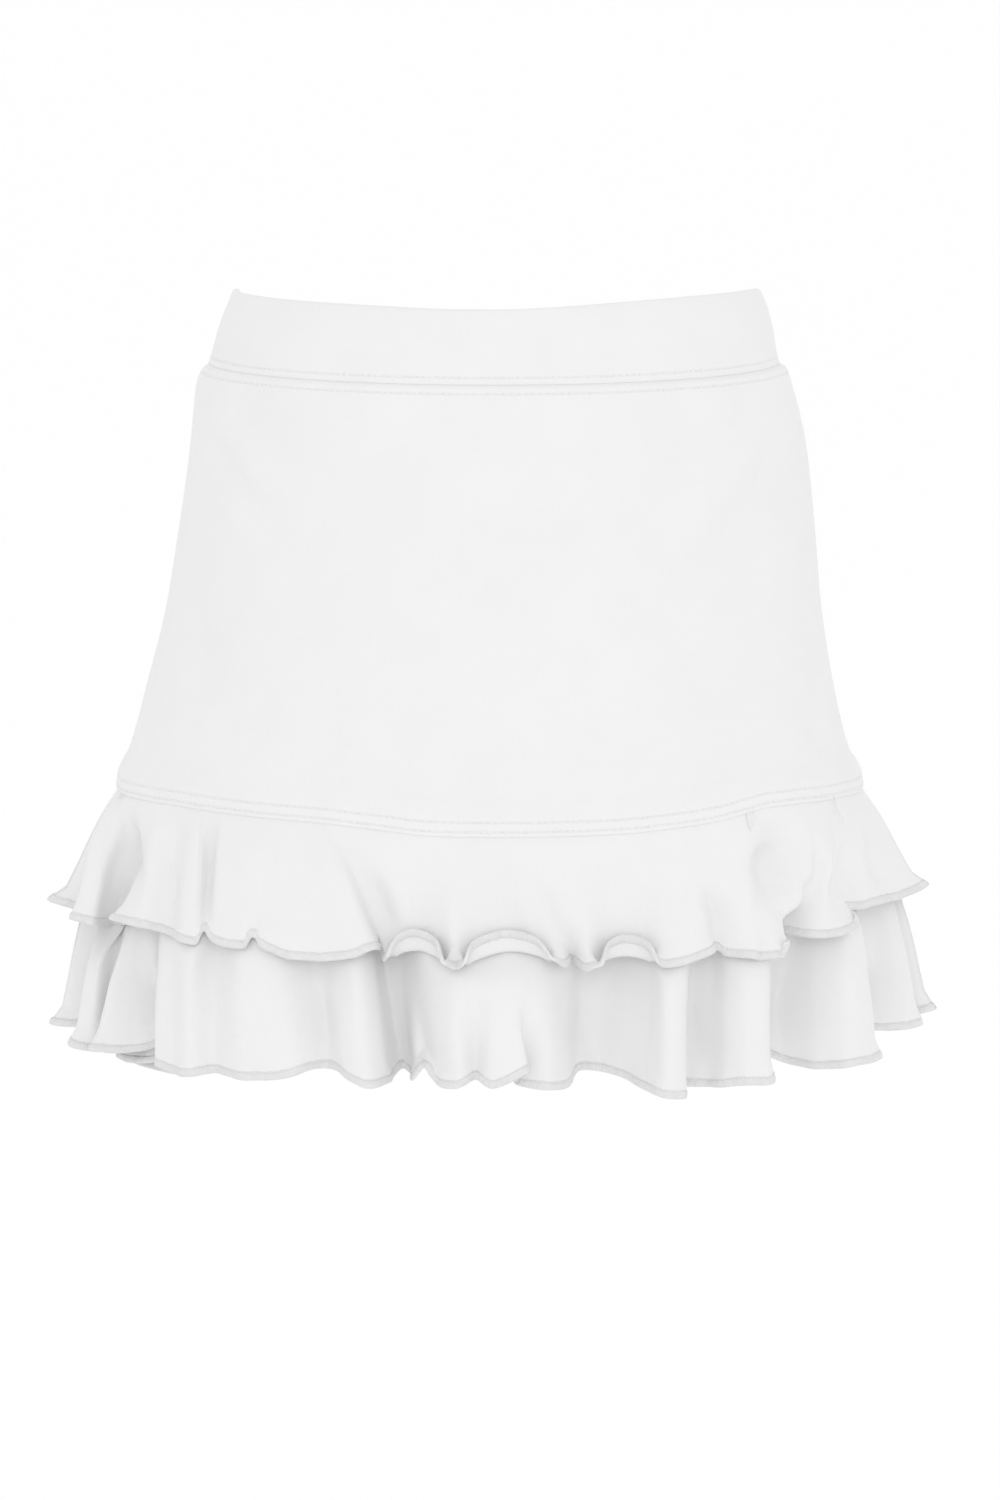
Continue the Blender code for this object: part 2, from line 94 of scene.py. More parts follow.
# ================================================================ folds of the tiers
# A row for each crest, shoulder, notch or valley of the hem, in order round the body:
# seam: where its line starts on the seam (degrees); hem: where it ends (degrees);
# out: how far the hem stands out from the seam's ring; drop: how far its lowest edge
# hangs below it; flip: how far the edge rolls outwards (degrees); bend: above 1 where
# the fold opens late, below 1 where it opens early; late: the share of the length at
# which a small fold starts.
UPPER_FOLDS = [
    #  seam    hem   out  drop flip bend late
    (-92.0, -89.0, 25.0, 50.0, 30, 1.00, 0.00),
    (-84.5, -86.0, 11.0, 52.5, 0, 1.00, 0.00),
    (-79.5, -71.1, 24.0, 48.5, 10, 0.55, 0.00),
    (-76.5, -68.0, 21.0, 49.2, 0, 0.80, 0.00),
    (-73.5, -71.4, 12.5, 52.2, 0, 0.90, 0.00),
    (-70.5, -73.2, 5.5, 53.5, 0, 0.90, 0.00),
    (-67.8, -67.3, 5.5, 51.4, 0, 1.00, 0.00),
    (-64.8, -58.3, 23.0, 45.0, 12, 2.40, 0.00),
    (-60.5, -54.1, 20.0, 46.2, 0, 1.30, 0.00),
    (-55.0, -51.8, 11.5, 50.0, 0, 2.20, 0.00),
    (-51.5, -46.3, 16.0, 51.2, 0, 1.00, 0.00),
    (-49.2, -44.3, 15.0, 51.5, 0, 0.80, 0.00),
    (-46.6, -43.6, 12.0, 45.5, 10, 2.30, 0.00),
    (-44.4, -40.7, 16.0, 49.3, 0, 0.90, 0.00),
    (-41.0, -37.2, 18.0, 50.0, 0, 1.00, 0.00),
    (-38.6, -34.5, 18.5, 49.1, 0, 1.00, 0.60),
    (-37.6, -34.8, 13.0, 45.1, 10, 1.00, 0.60),
    (-36.4, -32.4, 18.5, 47.7, 0, 1.00, 0.60),
    (-33.5, -28.3, 19.0, 51.5, 0, 0.90, 0.00),
    (-30.0, -23.0, 19.0, 51.6, 0, 0.90, 0.00),
    (-28.0, -17.5, 21.0, 48.1, 0, 0.90, 0.00),
    (-26.6, -15.8, 19.0, 46.1, 15, 0.90, 0.00),
    (-24.5, -15.5, 9.0, 48.7, 0, 0.90, 0.00),
    (-19.0, -14.5, 11.0, 51.7, 20, 1.00, 0.00),
    (-14.8, -13.1, 9.5, 46.5, 140, 1.00, 0.00),
    (-12.5, -10.7, 7.5, 44.6, 172, 1.00, 0.00),
    (-9.6, -7.2, 12.0, 46.6, 150, 1.00, 0.00),
    (-7.0, -5.0, 18.0, 50.0, 10, 1.00, 0.00),
    (-4.4, -3.0, 12.5, 47.0, 150, 1.00, 0.00),
    (-0.5, 1.8, 7.5, 43.8, 175, 1.00, 0.00),
    (2.4, 6.6, 12.0, 45.5, 152, 1.00, 0.00),
    (4.4, 9.0, 16.5, 49.7, 20, 1.00, 0.00),
    (9.5, 11.3, 5.0, 49.0, 0, 1.00, 0.55),
    (13.5, 12.6, 14.0, 51.8, 20, 1.00, 0.00),
    (16.5, 15.3, 9.0, 48.3, 140, 1.00, 0.00),
    (20.0, 18.6, 7.5, 47.3, 172, 1.00, 0.00),
    (23.5, 21.3, 11.0, 48.8, 140, 1.00, 0.00),
    (26.0, 22.8, 16.5, 52.0, 20, 1.00, 0.00),
    (29.0, 25.9, 19.0, 51.4, 0, 1.00, 0.00),
    (33.0, 29.4, 17.5, 49.8, 15, 1.00, 0.00),
    (36.0, 33.0, 7.0, 50.3, 0, 1.00, 0.45),
    (39.5, 34.0, 13.0, 53.2, 0, 1.00, 0.00),
    (43.0, 35.8, 16.5, 55.1, 0, 1.00, 0.00),
    (47.5, 40.1, 11.0, 57.6, 0, 1.30, 0.80),
    (53.0, 40.8, 14.5, 55.6, 0, 1.00, 0.80),
    (56.0, 42.2, 15.5, 54.2, 12, 1.00, 0.60),
    (57.5, 48.6, 1.5, 55.2, 0, 1.00, 0.42),
    (59.0, 49.2, 6.5, 51.9, 0, 1.00, 0.25),
    (61.2, 51.4, 18.0, 50.8, 0, 1.00, 0.00),
    (63.0, 56.5, 19.0, 50.0, 20, 1.70, 0.00),
    (66.0, 61.6, 8.0, 44.0, 0, 1.00, 0.00),
    (70.5, 65.4, 10.0, 44.3, 0, 1.00, 0.00),
    (74.0, 68.8, 13.0, 43.2, 0, 1.00, 0.00),
    (77.5, 79.5, 12.0, 46.0, 0, 1.00, 0.00),
    (82.0, 84.0, 18.0, 45.0, 0, 1.00, 0.00),
    (89.5, 88.5, 24.5, 43.0, 25, 1.00, 0.00),
    # hidden sides
    (94.0, 93.0, 20.0, 44.5, 0, 1.00, 0.00),
    (99.0, 98.5, 10.0, 46.0, 0, 1.00, 0.00),
    (104.0, 103.0, 19.0, 46.5, 0, 1.00, 0.00),
    (109.0, 108.0, 22.5, 47.5, 10, 1.00, 0.00),
    (113.5, 112.5, 19.0, 46.5, 0, 1.00, 0.00),
    (118.0, 117.0, 7.0, 47.0, 0, 1.00, 0.00),
    (123.0, 124.0, 18.0, 47.5, 0, 1.00, 0.00),
    (129.0, 131.0, 24.0, 48.5, 0, 1.00, 0.00),
    (132.5, 133.6, 22.5, 46.5, 0, 1.00, 0.60),
    (133.8, 134.4, 17.0, 43.0, 10, 1.00, 0.60),
    (135.0, 135.8, 22.0, 46.0, 0, 1.00, 0.60),
    (138.5, 139.5, 10.0, 46.0, 0, 1.00, 0.00),
    (143.0, 143.5, 18.0, 47.0, 0, 1.00, 0.00),
    (149.0, 148.0, 20.5, 48.0, 10, 1.00, 0.00),
    (153.0, 151.8, 13.5, 45.5, 120, 1.00, 0.00),
    (157.0, 156.8, 8.0, 44.0, 150, 1.00, 0.00),
    (161.0, 161.8, 13.0, 45.5, 120, 1.00, 0.00),
    (166.0, 167.0, 21.0, 49.5, 10, 1.00, 0.00),
    (171.0, 171.0, 13.0, 45.5, 120, 1.00, 0.00),
    (175.5, 175.0, 8.5, 43.8, 150, 1.00, 0.00),
    (180.0, 179.0, 13.0, 45.5, 120, 1.00, 0.00),
    (186.0, 184.0, 20.0, 49.0, 10, 1.00, 0.00),
    (190.5, 188.5, 18.0, 47.5, 0, 1.00, 0.00),
    (195.0, 194.5, 6.0, 47.5, 0, 1.00, 0.00),
    (199.5, 199.5, 18.5, 47.5, 0, 1.00, 0.00),
    (205.0, 203.0, 24.0, 48.5, 0, 1.00, 0.00),
    (209.0, 207.5, 20.0, 47.0, 0, 1.00, 0.00),
    (214.0, 213.5, 9.0, 46.5, 0, 1.00, 0.00),
    (219.0, 219.5, 17.0, 47.0, 0, 1.00, 0.00),
    (224.0, 225.0, 20.5, 48.5, 15, 1.00, 0.00),
    (228.5, 229.0, 16.0, 46.5, 0, 1.00, 0.00),
    (233.0, 232.5, 6.0, 47.5, 0, 1.00, 0.00),
    (238.0, 237.5, 18.0, 47.5, 0, 1.00, 0.00),
    (243.0, 242.0, 23.0, 49.0, 0, 1.00, 0.00),
    (249.0, 249.0, 19.0, 48.0, 0, 1.00, 0.00),
    (255.0, 255.5, 9.5, 49.0, 0, 1.00, 0.00),
    (262.0, 263.5, 19.0, 50.0, 0, 1.00, 0.00),
]
UPPER_FRONT = 55            # rows from the first to this one make the front panel

LOWER_FOLDS = [
    (-92.0, -89.0, 25.0, 102.5, 25, 1.00, 0.00),
    (-84.5, -85.5, 1.0, 103.0, 0, 1.00, 0.00),
    (-80.0, -70.3, 25.0, 102.5, 20, 1.15, 0.00),
    (-76.0, -68.8, 20.0, 104.2, 0, 0.60, 0.00),
    (-72.0, -71.0, 10.5, 105.8, 0, 1.00, 0.00),
    (-68.5, -65.9, 9.5, 103.5, 0, 1.00, 0.00),
    (-65.2, -62.7, 28.0, 101.4, 12, 1.90, 0.00),
    (-63.0, -61.4, 15.0, 103.3, 0, 1.20, 0.00),
    (-61.0, -58.2, 5.0, 101.1, 0, 1.00, 0.00),
    (-60.6, -57.7, 3.0, 105.1, 0, 1.00, 0.00),
    (-60.4, -62.4, 4.0, 110.0, 0, 1.00, 0.00),
    (-60.1, -74.9, 5.0, 112.7, 0, 1.00, 0.00),
    (-59.6, -58.2, -2.0, 113.3, 0, 1.00, 0.00),
    (-59.0, -51.7, 17.0, 105.1, 0, 0.90, 0.00),
    (-57.5, -48.2, 18.0, 106.3, 0, 0.90, 0.00),
    (-51.5, -42.5, 24.5, 104.8, 0, 0.70, 0.00),
    (-46.0, -40.7, 18.0, 103.6, 0, 1.20, 0.00),
    (-40.5, -33.8, 24.0, 103.1, 0, 0.70, 0.00),
    (-35.0, -28.2, 22.0, 101.4, 0, 0.75, 0.00),
    (-29.5, -23.5, 13.0, 97.1, 0, 0.90, 0.00),
    (-27.5, -19.7, 19.0, 99.2, 0, 0.70, 0.00),
    (-25.0, -16.4, 24.5, 101.7, 10, 0.65, 0.00),
    (-23.3, -14.8, 16.0, 101.8, 10, 0.75, 0.00),
    (-21.3, -14.8, 1.5, 101.4, 0, 1.00, 0.00),
    (-19.4, -13.9, -5.5, 98.4, 0, 1.50, 0.00),
    (-17.5, -12.5, -3.0, 100.2, 0, 1.00, 0.00),
    (-16.0, -10.7, 7.0, 99.0, 30, 1.00, 0.60),
    (-15.0, -9.6, 6.0, 93.0, 40, 1.00, 0.60),
    (-12.5, -7.1, 16.0, 99.0, 15, 0.80, 0.00),
    (-7.0, -4.7, 23.0, 97.8, 0, 0.65, 0.00),
    (-3.0, -2.5, 15.0, 95.0, 10, 0.80, 0.50),
    (-0.5, -0.4, 22.0, 97.8, 0, 0.65, 0.40),
    (3.0, 4.2, 21.0, 91.5, 0, 0.65, 0.60),
    (4.5, 2.8, 13.0, 97.9, 0, 0.65, 0.60),
    (8.5, 6.9, 15.0, 100.2, 0, 0.70, 0.00),
    (12.0, 10.1, 6.0, 101.3, 10, 0.90, 0.00),
    (15.5, 12.7, -4.0, 96.8, 0, 1.00, 0.00),
    (19.0, 16.6, -6.0, 98.2, 0, 1.00, 0.00),
    (22.5, 19.6, 3.0, 100.2, 0, 1.00, 0.00),
    (25.5, 21.0, 13.0, 102.8, 15, 0.90, 0.00),
    (29.0, 22.5, 27.0, 104.7, 0, 0.65, 0.00),
    (31.0, 24.9, 24.0, 106.2, 0, 0.65, 0.00),
    (33.6, 29.9, 1.0, 107.3, 0, 1.00, 0.00),
    (36.5, 32.6, 7.0, 107.9, 0, 0.90, 0.00),
    (39.0, 33.6, 15.0, 107.4, 0, 0.80, 0.00),
    (42.0, 35.4, 20.0, 107.2, 0, 0.70, 0.00),
    (45.8, 38.6, 21.0, 109.2, 12, 0.70, 0.00),
    (49.3, 47.6, -6.0, 102.5, 0, 1.00, 0.00),
    (54.0, 53.1, -5.5, 108.6, 0, 1.00, 0.00),
    (59.8, 53.4, 9.0, 108.6, 0, 0.75, 0.00),
    (65.0, 55.5, 22.0, 106.3, 0, 0.70, 0.00),
    (68.0, 63.7, 20.0, 106.3, 20, 0.80, 0.00),
    (72.5, 72.0, -2.0, 103.0, 0, 1.00, 0.00),
    (76.5, 78.0, 2.5, 104.0, 0, 1.00, 0.00),
    (80.0, 83.0, 7.5, 102.0, 0, 1.00, 0.00),
    (84.0, 84.5, 19.0, 102.5, 0, 1.00, 0.00),
    (86.5, 87.0, 24.5, 101.5, 10, 1.00, 0.00),
    (89.0, 89.0, 15.0, 100.5, 0, 1.00, 0.00),
    (92.0, 91.5, 29.5, 97.5, 20, 1.00, 0.00),
    # hidden sides
    (96.0, 95.5, 19.0, 97.5, 0, 1.00, 0.00),
    (100.5, 99.5, 8.0, 98.0, 0, 1.00, 0.00),
    (105.0, 104.5, 18.0, 98.5, 0, 1.00, 0.00),
    (110.0, 109.0, 24.0, 99.5, 10, 1.00, 0.00),
    (114.5, 113.5, 19.0, 98.0, 0, 1.00, 0.00),
    (119.0, 118.5, 4.0, 98.0, 0, 1.00, 0.00),
    (124.5, 125.0, 19.0, 98.5, 0, 1.00, 0.00),
    (130.0, 131.0, 26.0, 100.5, 0, 1.00, 0.00),
    (135.0, 136.0, 20.0, 98.5, 0, 1.00, 0.00),
    (140.0, 140.0, 6.0, 98.0, 0, 1.00, 0.00),
    (145.0, 144.5, 17.0, 98.5, 0, 1.00, 0.00),
    (150.0, 149.0, 23.0, 99.5, 0, 1.00, 0.00),
    (152.6, 151.6, 21.5, 98.5, 0, 1.00, 0.50),
    (154.0, 153.0, 16.0, 95.0, 10, 1.00, 0.50),
    (155.4, 154.4, 19.0, 98.0, 0, 1.00, 0.50),
    (159.0, 158.5, 3.5, 98.0, 0, 1.00, 0.00),
    (164.0, 164.5, 18.0, 99.0, 0, 1.00, 0.00),
    (169.0, 170.0, 25.0, 100.5, 0, 1.00, 0.00),
    (173.5, 174.0, 19.5, 98.5, 0, 1.00, 0.00),
    (178.0, 177.5, 8.0, 97.0, 0, 1.00, 0.00),
    (182.5, 182.0, 17.0, 98.0, 0, 1.00, 0.00),
    (187.0, 186.0, 22.0, 99.5, 0, 1.00, 0.00),
    (191.5, 191.0, 17.0, 98.0, 0, 1.00, 0.00),
    (196.0, 196.5, 3.5, 98.0, 0, 1.00, 0.00),
    (200.5, 201.5, 19.0, 99.0, 0, 1.00, 0.00),
    (205.0, 206.0, 26.0, 100.5, 0, 1.00, 0.00),
    (209.5, 210.5, 20.0, 98.5, 0, 1.00, 0.00),
    (214.0, 214.5, 7.0, 98.0, 0, 1.00, 0.00),
    (219.0, 218.5, 16.0, 98.5, 0, 1.00, 0.00),
    (224.0, 223.5, 21.5, 99.5, 10, 1.00, 0.00),
    (228.5, 228.5, 16.0, 98.5, 0, 1.00, 0.00),
    (233.0, 233.5, 3.5, 98.5, 0, 1.00, 0.00),
    (238.5, 238.5, 18.0, 99.0, 0, 1.00, 0.00),
    (244.0, 244.0, 26.0, 101.0, 0, 1.00, 0.00),
    (250.5, 250.5, 19.0, 99.5, 0, 1.00, 0.00),
    (257.0, 257.5, 9.0, 100.5, 0, 1.00, 0.00),
    (262.5, 263.5, 19.0, 101.5, 0, 1.00, 0.00),
]
LOWER_FRONT = 58

# share of the length, share of the way down, share of the way out
UPPER_SHARES = [(0.0, 0.0, 0.0), (0.33, 0.32, 0.36), (0.68, 0.68, 0.69), (1.0, 1.0, 1.0)]
LOWER_SHARES = [
    (0.0, 0.0, 0.0), (0.24, 0.22, 0.32), (0.47, 0.45, 0.56),
    (0.67, 0.66, 0.75), (0.84, 0.84, 0.88), (1.0, 1.0, 1.0),
]

# Inner shorts, middle of the wall.
# z at the side, half width, depth front, depth back, leg's inner edge, leg's depth
SHORT_ROWS = [
    (-240.0, 127.0, 83.0, 85.0, 9.0, 82.0),
    (-226.0, 128.2, 84.0, 86.0, 7.0, 83.0),
    (-206.0, 129.4, 86.0, 88.0, 4.5, 84.0),
    (-188.0, 129.8, 89.0, 90.0, 2.5, 84.0),
    (-181.0, 129.8, 90.0, 92.0, 2.0, 84.0),
    (-168.0, 129.6, 91.0, 94.0, 1.5, 84.0),
    (-146.0, 129.0, 91.5, 96.0, 1.0, 84.0),
    (-118.0, 126.0, 90.0, 95.0, 0.0, 0.0),
    (-78.0, 122.6, 88.4, 93.4, 0.0, 0.0),
    (-40.0, 119.6, 86.2, 89.8, 0.0, 0.0),
    (-15.8, 117.4, 84.6, 87.2, 0.0, 0.0),
]

# Soft creases of the skirt: from angle and z, to angle and z, half width, depth inwards
CREASES = [
    (-70.0, -40.0, -43.0, -76.0, 6.0, 0.95),
    (-72.0, -100.0, -50.0, -160.0, 14.0, 1.1),
    (-58.0, -58.0, -50.0, -66.0, 4.0, 0.25),
    (38.0, -92.0, 64.0, -44.0, 6.5, 0.8),
    (60.0, -150.0, 72.0, -188.0, 6.0, 0.6),
    (76.0, -130.0, 66.0, -172.0, 8.0, 0.55),
    (-12.0, -185.0, 20.0, -178.0, 9.0, 0.3),
    (112.0, -46.0, 132.0, -80.0, 8.0, 0.5),
    (118.0, -110.0, 104.0, -160.0, 12.0, 0.6),
    (222.0, -84.0, 244.0, -48.0, 8.0, 0.5),
    (236.0, -120.0, 252.0, -165.0, 11.0, 0.6),
    (170.0, -66.0, 196.0, -60.0, 10.0, 0.35),
]

# Soft creases of the flounces: front or back (-1, 1), from x and depth under the seam,
# to x and depth, half width, depth inwards (below 0 for a ridge)
UPPER_CREASES = [
    (-1, 115.0, 8.0, 122.0, 40.0, 10.5, 12.5),
    (-1, 128.5, 6.0, 130.5, 36.0, 4.5, -4.0),
    (-1, 117.5, 34.0, 124.0, 48.0, 4.5, 4.0),
    (-1, 131.5, 12.0, 132.2, 28.0, 2.0, 2.2),
    (-1, 134.6, 12.0, 136.5, 34.0, 2.0, -1.6),
    (-1, 147.0, 12.0, 142.0, 40.0, 5.0, 3.4),
    (-1, 155.0, 16.0, 163.0, 38.0, 4.0, 3.2),
    (-1, 85.0, 22.0, 95.0, 46.0, 3.5, 3.4),
    (-1, 15.0, 10.0, 27.0, 44.0, 4.4, 2.6),
    (-1, -53.5, 14.0, -41.0, 43.0, 4.6, 3.8),
    (-1, -134.0, 18.0, -132.3, 40.0, 1.6, 0.9),
    (-1, -156.0, 5.0, -152.5, 34.0, 6.0, 6.0),
    (1, -118.0, 12.0, -110.0, 36.0, 7.0, 3.4),
    (1, -64.0, 18.0, -72.0, 42.0, 4.0, 2.0),
    (1, -12.0, 14.0, -21.0, 38.0, 5.0, 2.4),
    (1, 46.0, 10.0, 55.0, 34.0, 6.0, 2.6),
    (1, 104.0, 16.0, 98.0, 40.0, 4.5, 2.4),
]
LOWER_CREASES = [
    (-1, -147.0, 62.0, -149.0, 102.0, 5.0, 7.0),
    (-1, -73.0, 60.0, -69.0, 102.0, 5.5, 4.2),
    (-1, 31.0, 64.0, 47.0, 96.0, 7.0, 3.4),
    (-1, 82.0, 64.0, 84.0, 100.0, 4.0, 3.0),
    (-1, 122.0, 64.0, 121.0, 106.0, 7.0, 5.0),
    (-1, 162.0, 70.0, 166.0, 100.0, 4.5, 7.0),
    (1, -126.0, 64.0, -130.0, 96.0, 6.0, 3.0),
    (1, -58.0, 60.0, -52.0, 96.0, 5.0, 2.6),
    (1, 8.0, 62.0, 2.0, 98.0, 6.0, 3.0),
    (1, 78.0, 62.0, 86.0, 98.0, 5.0, 2.8),
    (1, 138.0, 66.0, 134.0, 96.0, 5.0, 2.8),
]

# ---------------------------------------------------------------- sewing, mm
STITCH = 2.6                # length of a stitch
WAIST_ROWS = (2.9, 3.4)     # rows of the coverstitch above and under the waist seam
SEAM_ROWS = (1.9, 5.7)      # rows above the folded edge of the skirt
SHORT_HEM_ROWS = (8.0, 11.2)
THREAD = 0.25               # half the thickness of a stitch
MERROW_HALF = 1.6           # half the height of the rolled overlock edge
MERROW_THICK = 0.9         # half its thickness
MERROW_PITCH = 1.35
CLOTH_HALF = 0.45           # half the thickness of a single layer
SKIRT_END = SEAM_Z + 1.1     # the folded edge over the top of the tiers
TIER_CLEAR = 2.2
BELOW_HEM = 0.9              # how steeply the lower tier may come out under the upper hem
SHORT_CLEAR = 1.5
ROLL = 11.0                 # width of the strip that rolls over at the hem
ROLL_ARC = 3.2              # length of cloth over which it turns


# ================================================================ curves and rings
def smooth_step(x):
    x = np.clip(x, 0.0, 1.0)
    return x * x * (3.0 - 2.0 * x)


def curve(xs, ys, at):
    """A smooth curve through (x, y) columns that doesn't overshoot them."""
    xs, ys, at = (np.asarray(v, float) for v in (xs, ys, at))
    slopes = np.diff(ys) / np.diff(xs)
    before, after = slopes[:-1], slopes[1:]
    total = np.where(np.abs(before + after) < 1e-12, 1.0, before + after)
    middle = np.where(before * after <= 0, 0.0, 2.0 * before * after / total)
    tangents = np.concatenate([slopes[:1], middle, slopes[-1:]])
    i = np.clip(np.searchsorted(xs, at, side="right") - 1, 0, len(xs) - 2)
    width = xs[i + 1] - xs[i]
    t = np.clip((at - xs[i]) / width, 0.0, 1.0)
    return (
        (2 * t**3 - 3 * t**2 + 1) * ys[i]
        + (t**3 - 2 * t**2 + t) * width * tangents[i]
        + (3 * t**2 - 2 * t**3) * ys[i + 1]
        + (t**3 - t**2) * width * tangents[i + 1]
    )


def table(rows):
    return [np.array(column, float) for column in zip(*rows)]


RING = table(RINGS)
LIFT = table(LIFTS)


def turn(deg):
    return (np.asarray(deg, float) + 180.0) % 360.0 - 180.0


def halves(z):
    return [curve(RING[0], size, z) for size in RING[1:]]


def flat_point(deg, sizes, out=0.0):
    """x and y of a four-quarter ellipse."""
    right, left, front, back = (size + out for size in sizes)
    x, y = np.sin(np.radians(deg)), -np.cos(np.radians(deg))
    return np.where(x > 0, right, left) * x, np.where(y > 0, back, front) * y


def back_share(deg):
    y = -np.cos(np.radians(deg))
    return 0.5 * (y + np.sqrt(y * y + 0.010)) - 0.0025


def height(z, deg):
    dip = BACK_DIP * back_share(deg) * smooth_step((z + 170.0) / 150.0)
    top = curve(LIFT[0], LIFT[1], turn(deg)) * smooth_step((z + BAND_HALF) / (2 * BAND_HALF))
    seam = curve(LIFT[0], LIFT[2], turn(deg)) * smooth_step((-70.0 - z) / 127.0)
    return z - dip + top + seam


def ring_points(z, deg, inwards=0.0):
    z, deg = np.broadcast_arrays(np.asarray(z, float), np.asarray(deg, float))
    x, y = flat_point(deg, halves(z), -np.asarray(inwards, float))
    return np.stack([x, y, height(z, deg)], -1)


def unit(v):
    return v / np.maximum(np.linalg.norm(v, axis=-1, keepdims=True), 1e-9)


def lengths_along(points, axis):
    """Distance along a grid's rows or columns from the first one."""
    step = np.linalg.norm(np.diff(points, axis=axis), axis=-1)
    start = np.zeros_like(np.take(step, [0], axis=axis))
    return np.concatenate([start, np.cumsum(step, axis=axis)], axis=axis)


def waves(a, b, seed, count=5, low=0.6, high=1.8):
    """Soft unevenness between about -1 and 1: a few slanting waves of fixed phases."""
    pick = np.random.default_rng(seed)
    total = 0.0
    for _ in range(count):
        angle, phase = pick.uniform(0, 2 * math.pi, 2)
        rate = pick.uniform(low, high)
        total = total + np.sin(rate * (a * math.cos(angle) + b * math.sin(angle)) + phase)
    return total / math.sqrt(count) / 1.4


# ================================================================ the tiers
class Tier:
    """A flounce all round, as a grid of points: rows down, columns round."""

    def __init__(self, folds, shares, creases, inwards, spacing, rows, ripple, seed, clear_of=()):
        self.creases = creases
        self.seam, self.hem, self.out, self.drop, self.flip, self.bend, self.late = table(folds)
        self.count = len(folds)
        self.shares = table(shares)
        self.inwards = inwards
        self.ripple = ripple
        self.seed = seed
        x, y = flat_point(self.hem, halves(SEAM_Z), self.out)
        z = TIER_TOP_Z + curve(LIFT[0], LIFT[2], turn(self.seam)) - self.drop
        self.hems = np.stack([x, y, z], -1)
        self.main = self.on_main()
        self.stations(spacing)
        self.build(rows, clear_of)

    def spline(self, points, q):
        """Through a closed list of points, with tangents scaled to the shorter side."""
        n = len(points)
        before = np.roll(points, 1, 0)
        after = np.roll(points, -1, 0)
        short, long = (np.linalg.norm(v, axis=1)[:, None] for v in (points - before, after - points))
        tangents = ((points - before) / short * long + (after - points) / long * short) / (short + long)
        i = np.floor(q).astype(int)
        t = (q - i)[:, None]
        i = i % n
        j = (i + 1) % n
        span = np.linalg.norm(points[j] - points[i], axis=1)[:, None] * 0.88
        return (
            (2 * t**3 - 3 * t**2 + 1) * points[i]
            + (t**3 - 2 * t**2 + t) * span * tangents[i]
            + (3 * t**2 - 2 * t**3) * points[j]
            + (t**3 - t**2) * span * tangents[j]
        )

    def on_main(self):
        """Where each small fold would lie if the cloth ran straight past it."""
        keep = np.flatnonzero(self.late == 0)
        points = self.hems.copy()
        seams = np.append(self.seam[keep], self.seam[keep[0]] + 360.0)
        for k in np.flatnonzero(self.late > 0):
            i = int(np.searchsorted(seams, self.seam[k]) - 1)
            q = i + (self.seam[k] - seams[i]) / (seams[i + 1] - seams[i])
            points[k] = self.spline(self.hems[keep], np.array([q]))[0]
        return points

    def controls(self, s):
        grow = smooth_step((s - self.late) / (1.0 - self.late + 1e-9))[:, None]
        return np.where(self.late[:, None] > 0, self.main + (self.hems - self.main) * grow, self.hems)

    def stations(self, spacing):
        fine = np.linspace(0, self.count, self.count * 48 + 1)
        path = self.spline(self.hems, fine)
        along = lengths_along(path, 0)
        self.hem_length = along[-1]
        knots = along[::48]
        self.columns = int(round(self.hem_length / spacing))
        self.u = np.arange(self.columns) * self.hem_length / self.columns
        self.q = np.interp(self.u, along, fine)
        self.knots = knots

    def carried(self, values, wrap=0.0):
        """A row value carried smoothly to the columns."""
        values = np.concatenate([[values[-1] - wrap], values, [values[0] + wrap, values[1] + wrap]])
        knots = self.knots
        total = knots[-1]
        xs = np.concatenate([[knots[-2] - total], knots, [total + knots[1]]])
        return curve(xs, values, self.u)

    def dented(self, base):
        """The soft creases between the folds, fading out at the seam and the hem."""
        below = under_seam(base, degrees_of(base))
        move = np.zeros(below.shape)
        for side, x_a, down_a, x_b, down_b, half, depth in self.creases:
            x, y = base[..., 0] - x_a, below - down_a
            run = np.array([x_b - x_a, down_b - down_a])
            t = np.clip((x * run[0] + y * run[1]) / (run @ run), 0.0, 1.0)
            away = np.hypot(x - t * run[0], y - t * run[1]) / half
            ends = smooth_step(t * 2.5) * smooth_step((1.0 - t) * 2.5) * 0.8 + 0.2
            valley = np.exp(-away * away) - 0.2 * np.exp(-(((away - 2.0) / 0.8) ** 2))
            move += depth * valley * ends * smooth_step(side * base[..., 1] / 14.0)
        free = smooth_step(below / 7.0) * smooth_step((below[-1] - below) / 10.0)
        outward = unit(base * np.array([1.0, 1.0, 0.0]))
        return base - outward * (move * free)[..., None]

    def build(self, rows, clear_of):
        deg = self.carried(self.seam, 360.0)
        bend = self.carried(self.bend)
        flip = np.radians(self.carried(self.flip))
        top = ring_points(SEAM_Z, deg, self.inwards)
        top[:, 2] += TIER_TOP_Z - SEAM_Z
        fine = np.linspace(0.0, 1.0, 61)
        base = []
        for s in fine:
            target = self.spline(self.controls(s), self.q)
            down = curve(self.shares[0], self.shares[1], s)
            out = curve(self.shares[0], self.shares[2], s) ** bend
            flat = top[:, :2] + (target[:, :2] - top[:, :2]) * out[:, None]
            z = top[:, 2] + (target[:, 2] - top[:, 2]) * down
            base.append(np.concatenate([flat, z[:, None]], 1))
        base = self.dented(np.array(base))
        for limits in clear_of:
            base = pushed(base, *limits)
